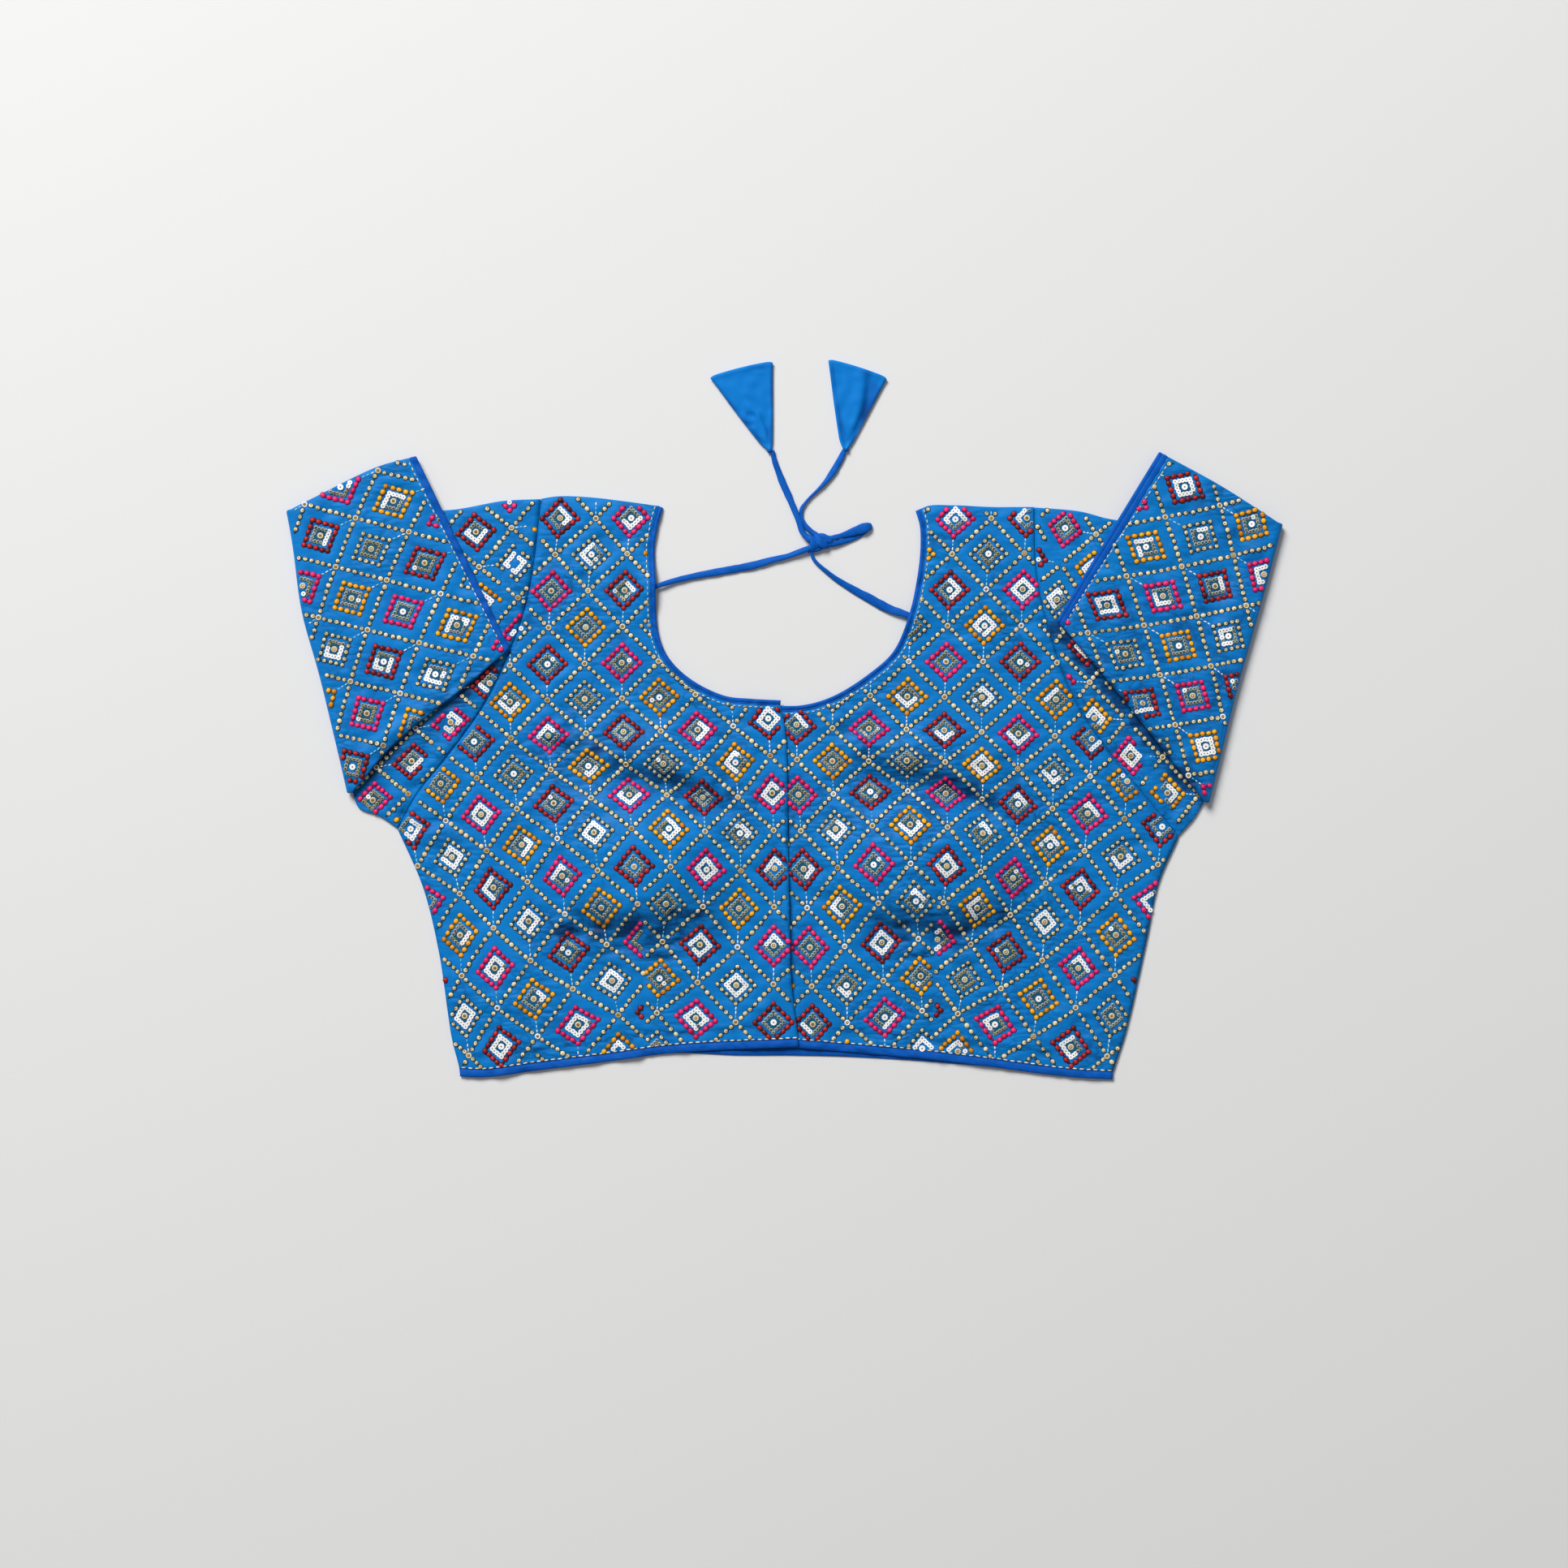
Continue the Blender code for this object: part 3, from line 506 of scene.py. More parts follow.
def threads_across(tree, vector, pitch, axis):
    """A wave of threads, 0 between them and 1 at their crowns."""
    made = node(tree, "ShaderNodeTexWave", Scale=1.0, Distortion=0.6, Detail=1.0)
    made.wave_type, made.bands_direction, made.wave_profile = "BANDS", axis, "SIN"
    made.inputs["Scale"].default_value = 0.314 / pitch   # one band for each pitch
    made.inputs["Detail Scale"].default_value = 2.0
    tree.links.new(vector, made.inputs["Vector"])
    return made.outputs["Fac"]


# folds gives the colour of the painted shade down in the folds.
def woven(name, light, dark, pitch=0.00045, roughness=0.5, sheen=0.25, tint=(0.3, 0.6, 1, 1), turn=0.0,
          depth=0.00005, slub=0.00012, specular=0.25, twill=False, pucker=0.0, folds=None, shade_share=0.62):
    """Cloth: warp and weft, uneven yarns, a faint change of tone over the piece, and, where folds is given, painted
    shade in the folds and along the bottoms of the creases.
    """
    made, tree, bsdf = shader(name, light, roughness, sheen, tint, specular)
    at = place(tree, turn)
    warp = threads_across(tree, at, pitch, "X")
    weft = threads_across(tree, at, pitch * (1.0 if not twill else 1.6), "Y" if not twill else "DIAGONAL")
    weave = maths(tree, "ADD", maths(tree, "MULTIPLY", warp, 0.5), maths(tree, "MULTIPLY", weft, 0.5))
    yarn = noise(tree, at, 900.0, 1.0)
    cloud = noise(tree, at, 26.0, 3.0, 0.6)
    share = maths(tree, "ADD", maths(tree, "MULTIPLY", cloud, 0.75), maths(tree, "MULTIPLY", yarn, 0.25))
    share = maths(tree, "SUBTRACT", share, maths(tree, "MULTIPLY", maths(tree, "SUBTRACT", weave, 0.5), 0.25))
    ramp = node(tree, "ShaderNodeValToRGB")
    ramp.color_ramp.elements[0].position, ramp.color_ramp.elements[1].position = 0.28, 0.72
    ramp.color_ramp.elements[0].color, ramp.color_ramp.elements[1].color = light, dark
    tree.links.new(share, ramp.inputs["Fac"])
    shade_and_pucker = None
    # painted shade: the cloth's colour is darkened down in the folds, darkest at the bottoms of the deepest ones
    if folds:   # darker down in the folds
        shade_and_pucker = node(tree, "ShaderNodeAttribute", attribute_name="shade_and_pucker").outputs["Fac"]
        shaded = node(tree, "ShaderNodeMix", data_type="RGBA")
        tree.links.new(maths(tree, "MULTIPLY", shade_and_pucker, shade_share), shaded.inputs[0])
        tree.links.new(ramp.outputs["Color"], shaded.inputs[6])
        shaded.inputs[7].default_value = folds
        darkest = node(tree, "ShaderNodeMix", data_type="RGBA")   # the bottoms of the deepest ones
        bottom = node(tree, "ShaderNodeMapRange", interpolation_type="SMOOTHSTEP")
        bottom.inputs["From Min"].default_value, bottom.inputs["To Max"].default_value = 0.70, 0.80
        tree.links.new(shade_and_pucker, bottom.inputs["Value"])
        tree.links.new(bottom.outputs["Result"], darkest.inputs[0])
        tree.links.new(shaded.outputs[2], darkest.inputs[6])
        darkest.inputs[7].default_value = srgb(2, 30, 76)
        tree.links.new(darkest.outputs[2], bsdf.inputs["Base Color"])
    else:
        tree.links.new(ramp.outputs["Color"], bsdf.inputs["Base Color"])
    rough = maths(tree, "ADD", roughness - 0.06, maths(tree, "MULTIPLY", cloud, 0.12))
    tree.links.new(rough, bsdf.inputs["Roughness"])
    low = node(tree, "ShaderNodeBump", Strength=0.6, Distance=slub)
    tree.links.new(noise(tree, at, 220.0, 2.0), low.inputs["Height"])
    if pucker:   # short soft creases drawn up by the stitching
        drawn = node(tree, "ShaderNodeBump", Strength=0.9, Distance=pucker)
        height, lines = None, None
        for turn_by, across, seed in ((24.0, 3.2, 0.0), (-38.0, 2.6, 7.0), (84.0, 2.8, 13.0)):
            mapping = node(tree, "ShaderNodeMapping")
            mapping.inputs["Location"].default_value = (seed, seed, 0.0)
            mapping.inputs["Rotation"].default_value = (0.0, 0.0, np.radians(turn_by))
            mapping.inputs["Scale"].default_value = (1.0, across, 1.0)
            tree.links.new(at, mapping.inputs["Vector"])
            ridged = maths(tree, "ABSOLUTE", maths(tree, "SUBTRACT", noise(tree, mapping.outputs["Vector"], 44.0, 1.0), 0.5))
            soft = node(tree, "ShaderNodeMapRange", interpolation_type="SMOOTHSTEP")
            soft.inputs["From Max"].default_value, soft.inputs["To Max"].default_value = 0.19, 0.75
            tree.links.new(ridged, soft.inputs["Value"])
            soft = soft.outputs["Result"]
            narrow = node(tree, "ShaderNodeMapRange", interpolation_type="SMOOTHSTEP")   # the bottoms of these creases
            narrow.inputs["From Max"].default_value = 0.045
            narrow.inputs["To Min"].default_value, narrow.inputs["To Max"].default_value = 1.0, 0.0
            tree.links.new(ridged, narrow.inputs["Value"])
            narrow = narrow.outputs["Result"]
            lines = narrow if lines is None else maths(tree, "MAXIMUM", lines, narrow)
            height = soft if height is None else maths(tree, "ADD", height, soft)
        if shade_and_pucker is not None:   # fewer where the cloth is smooth
            patchy = maths(tree, "MULTIPLY", maths(tree, "MAXIMUM", maths(tree, "SUBTRACT", noise(tree, at, 16.0, 2.0), 0.42), 0.0), 2.6)
            where = maths(tree, "ADD", maths(tree, "MULTIPLY", shade_and_pucker, 0.9), patchy)
            height = maths(tree, "MULTIPLY", height, where)
            # painted shade: dark lines along the bottoms of the creases
            crease_shade_mix = node(tree, "ShaderNodeMix", data_type="RGBA")
            tree.links.new(maths(tree, "MULTIPLY", lines, maths(tree, "MINIMUM", maths(tree, "MULTIPLY", where, 0.75), 0.7)), crease_shade_mix.inputs[0])
            tree.links.new(darkest.outputs[2], crease_shade_mix.inputs[6])
            crease_shade_mix.inputs[7].default_value = srgb(2, 70, 126)
            tree.links.new(crease_shade_mix.outputs[2], bsdf.inputs["Base Color"])
        tree.links.new(height, drawn.inputs["Height"])
        tree.links.new(drawn.outputs["Normal"], low.inputs["Normal"])
    high = node(tree, "ShaderNodeBump", Strength=0.8, Distance=depth)
    tree.links.new(weave, high.inputs["Height"])
    tree.links.new(low.outputs["Normal"], high.inputs["Normal"])
    tree.links.new(high.outputs["Normal"], bsdf.inputs["Normal"])
    return made


def thread(name, colour, roughness=0.5, sheen=0.2, specular=0.35):
    """Embroidery thread: a plain colour, with the strands of the stitch as relief."""
    made, tree, bsdf = shader(name, colour, roughness, sheen, colour, specular)
    at = place(tree, 45.0)
    bump = node(tree, "ShaderNodeBump", Strength=0.7, Distance=0.00012)
    tree.links.new(noise(tree, at, 1600.0, 2.0), bump.inputs["Height"])
    tree.links.new(bump.outputs["Normal"], bsdf.inputs["Normal"])
    return made


def film(name, colour, roughness=0.18, coat=0.5, specular=0.5, metallic=0.0):
    """A sequin's plastic film."""
    made, tree, bsdf = shader(name, colour, roughness, 0.0, (1, 1, 1, 1), specular, coat)
    bsdf.inputs["Metallic"].default_value = metallic
    at = place(tree)
    bump = node(tree, "ShaderNodeBump", Strength=0.4, Distance=0.0001)
    tree.links.new(noise(tree, at, 500.0, 1.0), bump.inputs["Height"])
    tree.links.new(bump.outputs["Normal"], bsdf.inputs["Normal"])
    return made


BLUE, BLUE_DARK = srgb(6, 129, 210), srgb(3, 117, 197)
ROYAL, ROYAL_DARK = srgb(4, 92, 188), srgb(2, 80, 172)
# The folds colours of the cloth and the satin are painted shade.
MATERIALS = {
    "cloth": woven("embroidered_cloth", BLUE, BLUE_DARK, specular=0.12, sheen=0.12, depth=0.00003, pucker=0.0006,
                   folds=srgb(2, 90, 160)),
    "binding": woven("binding_cloth", ROYAL, ROYAL_DARK, pitch=0.0004, roughness=0.6, turn=38.0, specular=0.1, sheen=0.1, pucker=0.0003),
    "tie": woven("tie_cloth", srgb(5, 98, 196), ROYAL_DARK, pitch=0.0004, roughness=0.55, turn=52.0, specular=0.1, sheen=0.1, pucker=0.0003),
    "satin": woven("satin_cloth", srgb(10, 130, 216), srgb(6, 120, 206), pitch=0.0003, roughness=0.6, sheen=0.12,
                   turn=20.0, depth=0.00002, slub=0.0001, specular=0.08, twill=True, folds=srgb(2, 76, 160), shade_share=0.95),
}
# name: one or more shades, light to dark
THREADS = {
    "pink": [(246, 40, 118), (236, 28, 104), (206, 14, 80)],
    "maroon": [(186, 30, 34), (162, 20, 24), (116, 10, 14)],
    "mustard": [(252, 176, 24), (244, 160, 14), (206, 126, 6)],
    "cream": [(228, 214, 176), (208, 190, 146), (142, 116, 74)],
    "gold": [(222, 202, 158), (190, 164, 112), (150, 124, 78)],
    "cyan": [(150, 218, 232), (120, 200, 224), (96, 178, 208)],
    "stitch": [(236, 232, 206), (220, 212, 176), (200, 190, 150)],
}
# the dark marks between and round the knots: partly the dark thread there, partly painted shade
SHADES = {"pink": (136, 20, 84), "maroon": (60, 20, 40), "mustard": (96, 92, 40), "cream": (32, 78, 96), "gold": (70, 70, 44)}
for label, shades in THREADS.items():
    for number, value in enumerate(shades):
        MATERIALS[f"{label}_{number}"] = thread(f"thread_{label}_{number}", srgb(*value))
for label, value in SHADES.items():
    MATERIALS[f"{label}_shade"] = thread(f"thread_{label}_shade", srgb(*value), roughness=0.7)
# Painted reflection: the white films stand for sequins that catch the light; the clear ones are the same sequins where
# they do not.
MATERIALS["white_0"] = film("sequin_painted_glint", srgb(252, 252, 252), roughness=0.25, coat=0.6)
MATERIALS["white_1"] = film("sequin_pearl", srgb(240, 242, 240), roughness=0.3, coat=0.4)
MATERIALS["clear_0"] = film("sequin_clear", srgb(96, 124, 122), roughness=0.2, coat=0.4)
MATERIALS["clear_1"] = film("sequin_smoke", srgb(52, 90, 96), roughness=0.2, coat=0.4)
MATERIALS["rim_0"] = film("sequin_rim", srgb(176, 176, 162), roughness=0.25, coat=0.3)
MATERIALS["rim_1"] = film("sequin_rim_gold", srgb(178, 158, 108), roughness=0.3, coat=0.3)
MATERIALS["ground"] = thread("thread_ground", srgb(14, 88, 128), roughness=0.7, sheen=0.1, specular=0.15)
MATERIALS["gilt_0"] = film("sequin_gilt", srgb(214, 190, 138), roughness=0.3, coat=0.3)
# a sequin's hole painted near black: painted shade down in the hole
MATERIALS["hole_0"] = thread("sequin_hole", srgb(22, 44, 52), roughness=0.7)


# ------------------------------------------------------------ folds and puckers
def ripple(x, y, seed, short, long, turn=None, spread=25.0, count=14):
    """An uneven, band-limited ripple of about unit height."""
    draw = np.random.default_rng(seed)
    out = np.zeros(np.shape(x))
    for _ in range(count):
        wave = np.exp(draw.uniform(np.log(short), np.log(long)))
        angle = np.radians(draw.uniform(0, 180) if turn is None else turn + draw.uniform(-spread, spread))
        out = out + np.sin(2 * np.pi * (x * np.cos(angle) + y * np.sin(angle)) / wave + draw.uniform(0, 2 * np.pi))
    return out / np.sqrt(count / 2)


def nearest_on(line, x, y):
    """Signed distance to a line, positive on the left of its direction, and the share along it."""
    a, b = line[:-1], line[1:]
    d = b - a
    far = (d ** 2).sum(1)
    px, py = x[:, None] - a[None, :, 0], y[:, None] - a[None, :, 1]
    t = np.clip((px * d[:, 0] + py * d[:, 1]) / far, 0, 1)
    qx, qy = px - t * d[:, 0], py - t * d[:, 1]
    best = (qx ** 2 + qy ** 2).argmin(1)
    row = np.arange(len(x))
    t, qx, qy = t[row, best], qx[row, best], qy[row, best]
    side = np.sign(d[best, 0] * py[row, best] - d[best, 1] * px[row, best])
    return np.hypot(qx, qy) * np.where(side == 0, 1, side), (best + t) / len(a)


def creases(x, y, rows):
    """Soft folds. Each row: points of its line, half width, ridge height (negative for a
    trough), and step: how much the left side of the line stands over the right one."""
    x, y = np.asarray(x, float), np.asarray(y, float)
    shape = x.shape
    x, y = x.ravel(), y.ravel()
    z = np.zeros(len(x))
    for points, width, ridge, step in rows:
        if width < 7 or (step > 1.6 and points[0][1] > -80):   # drawn a little shallow in the tables
            ridge, step = 1.5 * ridge, 1.5 * step
        line = smooth(points, per=5)
        reach = 2.6 * width
        low, high = line.min(0) - reach, line.max(0) + reach
        near = np.flatnonzero((x > low[0]) & (x < high[0]) & (y > low[1]) & (y < high[1]))
        if not len(near):
            continue
        d, share = nearest_on(line, x[near], y[near])
        t = d / width
        ends = np.sin(np.pi * np.clip(share, 0, 1)) ** 0.7
        z[near] += ends * (ridge * np.exp(-t * t) + step * 2.33 * t * np.exp(-t * t))
    return z.reshape(shape)


# Folds of the fronts, from the shoulder down.
FRONT_FOLDS = [
    # the fold above each bust: the chest stands over the hollow
    ([(-118, 8), (-100, 1), (-82, -6), (-66, -14), (-48, -22)], 14.0, -0.9, 2.7),
    ([(-72, -2), (-58, -12), (-44, -22), (-28, -30)], 8.0, -0.8, 1.8),
    ([(-166, 20), (-150, 16), (-134, 9), (-116, 2)], 6.5, -0.5, 1.0),
    ([(-138, -26), (-120, -29), (-102, -26)], 5.0, -0.6, 0.7),
    ([(40, 13), (60, 4), (82, -5), (104, -13), (128, -20), (146, -26)], 14.0, -0.9, 2.6),
    ([(96, -2), (112, -12), (130, -22), (150, -34)], 8.0, -0.8, 1.7),
    ([(52, -24), (66, -20), (80, -22)], 6.0, -0.6, 0.8),
    ([(120, 6), (138, -6), (152, -20)], 6.0, 0.3, 0.8),
    # the steep under side of each bust
    ([(-146, -92), (-124, -99), (-100, -102), (-76, -100), (-56, -94)], 14.0, 0.4, 3.0),
    ([(58, -92), (78, -98), (100, -101), (124, -99), (144, -90)], 14.0, 0.4, 3.0),
    # puckers where the darts end
    ([(-146, -103), (-136, -108), (-126, -112)], 4.5, -1.1, 0.9),
    ([(-132, -100), (-120, -104), (-108, -104)], 3.2, -0.8, 0.6),
    ([(-124, -113), (-112, -110), (-101, -112)], 3.0, -0.9, 0.5),
    ([(-118, -121), (-106, -118), (-96, -122)], 3.0, -0.7, 0.6),
    ([(-90, -104), (-80, -108), (-70, -106)], 3.4, -0.9, 0.7),
    ([(-88, -114), (-76, -115), (-66, -111)], 3.0, -0.7, 0.6),
    ([(-88, -121), (-78, -124), (-66, -121)], 3.2, -0.7, 0.6),
    ([(-98, -86), (-96, -96), (-94, -106)], 2.8, -0.8, 0.0),
    ([(-78, -92), (-68, -96), (-58, -96)], 3.6, -0.7, 0.7),
    ([(-128, -126), (-114, -130), (-102, -128)], 4.0, -0.6, 0.6),
    ([(60, -100), (72, -103), (84, -100)], 4.0, -1.0, 0.8),
    ([(64, -110), (76, -113), (88, -111)], 3.2, -0.8, 0.6),
    ([(92, -92), (100, -98), (108, -96)], 3.0, -0.8, 0.6),
    ([(104, -104), (114, -108), (124, -104)], 3.2, -0.9, 0.7),
    ([(102, -114), (114, -118), (126, -114)], 3.2, -0.8, 0.6),
    ([(72, -121), (86, -124), (96, -121)], 3.2, -0.7, 0.5),
    ([(124, -98), (134, -104), (142, -102)], 4.0, -0.9, 0.8),
    ([(104, -125), (116, -129), (130, -126)], 4.0, -0.6, 0.5),
    # down from the darts to the hem
    ([(-108, -128), (-102, -142), (-99, -160)], 5.0, 0.5, 0.3),
    ([(-80, -128), (-84, -144), (-85, -164)], 5.0, 0.5, -0.3),
    ([(106, -128), (108, -144), (110, -162)], 5.0, 0.5, 0.3),
    ([(86, -128), (84, -146), (82, -166)], 5.0, 0.5, -0.3),
    # shoulders and neck
    ([(92, 152), (106, 150), (118, 146)], 3.0, -0.7, 0.4),
    ([(94, 140), (108, 134), (120, 130)], 4.0, -0.5, 0.4),
    ([(-96, 150), (-110, 146), (-124, 148)], 3.5, -0.5, 0.3),
    ([(-92, 120), (-104, 112), (-116, 110)], 4.0, -0.4, 0.3),
    ([(-80, 64), (-64, 50), (-46, 40)], 3.0, -0.4, 0.2),
    ([(84, 66), (70, 52), (52, 41)], 3.0, -0.4, 0.2),
    ([(-52, 34), (-36, 31), (-20, 33)], 3.0, -0.4, 0.2),
    # where the hem is turned up
    ([(-208, -189), (-170, -185), (-130, -180), (-90, -175), (-50, -172), (-6, -170)], 2.6, -0.22, 0.2),
    ([(208, -190), (170, -186), (130, -182), (90, -177), (50, -173), (10, -170)], 2.6, -0.22, -0.2),
    # sides
    ([(-238, -36), (-222, -34), (-206, -38)], 3.2, -0.8, 0.6),
    ([(-244, -50), (-230, -52), (-216, -58)], 4.0, -0.5, 0.5),
    ([(-226, -96), (-208, -100), (-190, -96)], 5.0, -0.5, 0.3),
    ([(-206, -160), (-186, -156), (-166, -160)], 6.0, 0.4, 0.3),
    ([(246, -52), (230, -52), (214, -58)], 4.0, -0.6, 0.5),
    ([(232, -100), (214, -102), (196, -98)], 5.0, -0.5, 0.3),
    ([(212, -160), (192, -158), (172, -162)], 6.0, 0.4, 0.3),
    # centre front
    ([(-30, -60), (-18, -66), (-4, -70)], 4.0, -0.4, 0.3),
    ([(-34, -98), (-20, -102), (-4, -104)], 4.0, -0.4, 0.3),
    ([(12, -62), (26, -66), (40, -64)], 4.0, -0.5, 0.3),
    ([(10, -78), (24, -84), (38, -82)], 4.5, -0.5, 0.4),
]
# Folds of the flaps.
FLAP_FOLDS = {
    "left": [
        ([(-300, 60), (-276, 52), (-252, 50)], 6.0, -0.5, 0.3),
        ([(-262, 118), (-244, 110), (-226, 112)], 5.0, -0.5, 0.3),
        ([(-250, 60), (-232, 66), (-214, 64)], 5.0, -0.5, 0.4),
        ([(-282, 0), (-262, 16), (-240, 30), (-214, 50)], 5.0, 0.7, 0.5),
        ([(-236, 36), (-218, 52), (-200, 66)], 3.0, -0.7, 0.4),
        ([(-290, 26), (-276, 20), (-262, 24)], 4.0, -0.5, 0.3),
    ],
    "right": [
        ([(300, 132), (288, 112), (282, 90)], 8.0, -0.9, 0.5),
        ([(276, 190), (284, 168), (292, 148)], 6.0, 0.6, -0.7),
        ([(224, 92), (236, 78), (250, 60)], 6.0, -0.8, 0.6),
        ([(262, 82), (276, 66), (286, 44)], 7.0, 0.8, -0.8),
        ([(198, 112), (214, 106), (232, 108)], 4.0, -0.7, 0.5),
        ([(220, 136), (238, 130), (258, 132)], 4.5, -0.5, 0.4),
        ([(208, 66), (224, 50), (242, 30), (262, 2)], 6.0, 0.9, -0.9),
        ([(250, 44), (262, 30), (270, 10)], 4.0, -0.9, 0.5),
        ([(286, 60), (292, 36), (290, 12)], 5.0, -0.7, 0.6),
        ([(236, 176), (250, 168), (266, 170)], 4.0, -0.5, 0.4),
    ],
}
# Folds of the sleeve where it lies under the flap.
UNDER_FOLDS = [
    ([(-184, 160), (-178, 146), (-176, 130)], 4.0, -0.6, 0.3),
    ([(-252, -14), (-236, -10), (-224, -14)], 4.0, -0.7, 0.5),
    ([(-226, 30), (-214, 22), (-204, 26)], 3.5, -0.6, 0.4),
    ([(-268, -22), (-256, -28), (-246, -30)], 4.0, -0.5, 0.4),
    ([(196, 158), (198, 146), (196, 134)], 5.0, -1.2, 0.8),
    ([(176, 162), (182, 150), (186, 140)], 4.0, -0.6, 0.4),
    ([(216, 12), (228, 4), (240, 0)], 4.0, -0.6, 0.4),
    ([(262, -20), (256, -32), (246, -40)], 4.0, -0.6, 0.5),
    ([(250, 0), (262, -10), (268, -24)], 4.0, -0.6, 0.5),
]
# The busts as they lie here, beside the part's plain mounds: middle x, y, direction,
# half length, half width, height.
SWELLS = [
    (-90.0, -15.0, -8.0, 58.0, 19.0, -3.4), (-84.0, 14.0, -10.0, 50.0, 13.0, 1.8), (-92.0, -66.0, 0.0, 46.0, 24.0, 1.6),
    (94.0, -15.0, 9.0, 58.0, 19.0, -3.4), (90.0, 14.0, 10.0, 50.0, 13.0, 1.8), (92.0, -66.0, 0.0, 46.0, 24.0, 1.6),
]
# Painted shade where the cloth lies in deep folds, under the flaps' edges and where it is drawn up by its seams, with
# more puckers there; rows of negative strength take the painted shade away where it lies brightest. Each row: points of
# its line, half width, strength.
SHADE_AND_PUCKER_ROWS = [
    ([(-136, 6), (-90, -4), (-30, -24)], 30.0, 0.28),
    ([(40, 10), (90, -4), (146, -22)], 30.0, 0.26),
    # painted light: less shade where it lies brightest
    ([(-130, -62), (-90, -62), (-48, -58)], 22.0, -0.15),
    ([(50, -58), (92, -62), (134, -62)], 22.0, -0.15),
    ([(-216, -50), (-204, -110), (-192, -170)], 30.0, -0.12),
    # painted shadow close under the flaps' edges
    ([(-283, -21), (-252, 14.3), (-232.3, 30.9), (-205.8, 51.6), (-180, 74)], 3.0, 0.93),
    ([(272, -26), (240.7, 13.8), (212.5, 48.9), (180, 88)], 5.0, 0.96),
    ([(-130, 8), (-100, 2), (-74, -7), (-40, -20)], 16.0, 0.66),
    ([(-104, -8), (-82, -14), (-56, -22)], 11.0, 0.30),
    ([(46, 12), (78, 3), (104, -8), (138, -20)], 16.0, 0.66),
    ([(80, -10), (104, -18), (128, -26)], 11.0, 0.30),
    ([(-146, -104), (-124, -108), (-100, -108), (-76, -106), (-50, -98)], 12.0, 0.85),
    ([(-140, -112), (-112, -118), (-84, -118)], 9.0, 0.4),
    ([(-112, -88), (-92, -92), (-72, -90)], 9.0, 0.35),
    ([(56, -96), (80, -104), (104, -108), (130, -104), (150, -94)], 11.0, 0.75),
    ([(76, -116), (100, -120), (122, -116)], 8.0, 0.35),
    ([(-168, 108), (-176, 78), (-196, 42), (-222, 8)], 5.0, 0.35),
    ([(165, 110), (172, 92), (190, 48), (222, 2)], 5.0, 0.35),
    ([(90, 150), (108, 146), (126, 148)], 5.0, 0.35),
    ([(-92, 152), (-110, 148), (-126, 150)], 4.0, 0.25),
    ([(-196, 62), (-218, 42), (-244, 20), (-272, -8)], 9.0, 0.7),
    ([(178, 92), (204, 60), (226, 34), (256, 0)], 9.0, 0.8),
    ([(-250, -26), (-240, -36), (-226, -46)], 6.0, 0.4),
    ([(252, -28), (242, -38), (228, -48)], 6.0, 0.4),
    # painted shade along the crease where the hem is turned up
    ([(-208, -189), (-170, -185), (-130, -180), (-90, -175), (-50, -172), (-6, -170)], 2.4, 0.6),
    ([(208, -190), (170, -186), (130, -182), (90, -177), (50, -173), (10, -170)], 2.4, 0.6),
]
# the narrow creases under the busts each get a line of painted shade
SHADE_AND_PUCKER_ROWS += [(points, 2.4, 0.55) for points, width, _, _ in FRONT_FOLDS if width < 5 and -128 < points[1][1] < -90 and 60 < abs(points[1][0]) < 140]
# Painted shade of the flaps, in the same columns: dark along their rolled lower edges and in their folds, and over much
# of the right flap; more puckers there too.
FLAP_SHADE_AND_PUCKER_ROWS = {
    "left": [([(-279, -13), (-252, 17), (-232, 34), (-206, 54.5), (-181, 76)], 3.0, 0.88), ([(-276, -2), (-250, 22), (-222, 44), (-196, 66)], 5.0, 0.45), ([(-300, 58), (-282, 52)], 8.0, 0.2),
             ([(-262, 110), (-240, 106), (-222, 110)], 6.0, 0.2)],
    "right": [([(192, 96), (212, 74), (236, 48), (258, 14), (268, -8)], 9.0, 0.6), ([(272, -20), (243.4, 17), (215.2, 52), (181, 92)], 2.4, 0.8),
              ([(306, 120), (296, 84), (288, 44), (280, 4)], 14.0, 0.5), ([(290, 170), (280, 90), (262, 10)], 45.0, 0.34),
              ([(226, 94), (240, 78), (254, 56)], 9.0, 0.5), ([(256, 92), (274, 70), (284, 40)], 9.0, 0.4),
              ([(206, 112), (222, 104), (240, 106)], 7.0, 0.35)],
}


def swells(x, y):
    z = np.zeros(np.shape(x))
    for cx, cy, turn, half_l, half_w, height in SWELLS:
        c, s = np.cos(np.radians(turn)), np.sin(np.radians(turn))
        a, b = ((x - cx) * c + (y - cy) * s) / half_l, (-(x - cx) * s + (y - cy) * c) / half_w
        z = z + height * np.exp(-((a * a + b * b) ** 1.2))
    return z


def deeps(x, y, rows):
    """Painted shade: from 0 on plain smooth cloth to 1 in the deepest folds; rows of negative strength lighten it. It
    also sets how strong the puckers are.
    """
    x, y = np.asarray(x, float), np.asarray(y, float)
    left = np.full(x.size, 0.88)
    px, py = x.ravel(), y.ravel()
    for points, width, strength in rows:
        line = smooth(points, per=5)
        reach = 2.4 * width
        low, high = line.min(0) - reach, line.max(0) + reach
        near = np.flatnonzero((px > low[0]) & (px < high[0]) & (py > low[1]) & (py < high[1]))
        if len(near):
            d, share = nearest_on(line, px[near], py[near])
            uneven = 0.85 + 0.3 * ripple(px[near], py[near], 51, 12, 30, count=8)
            left[near] *= 1 - np.clip(strength * np.exp(-((d / width) ** 2)) * uneven, -0.2, 0.97)
    return np.clip(1 - left, 0, 1).reshape(x.shape)


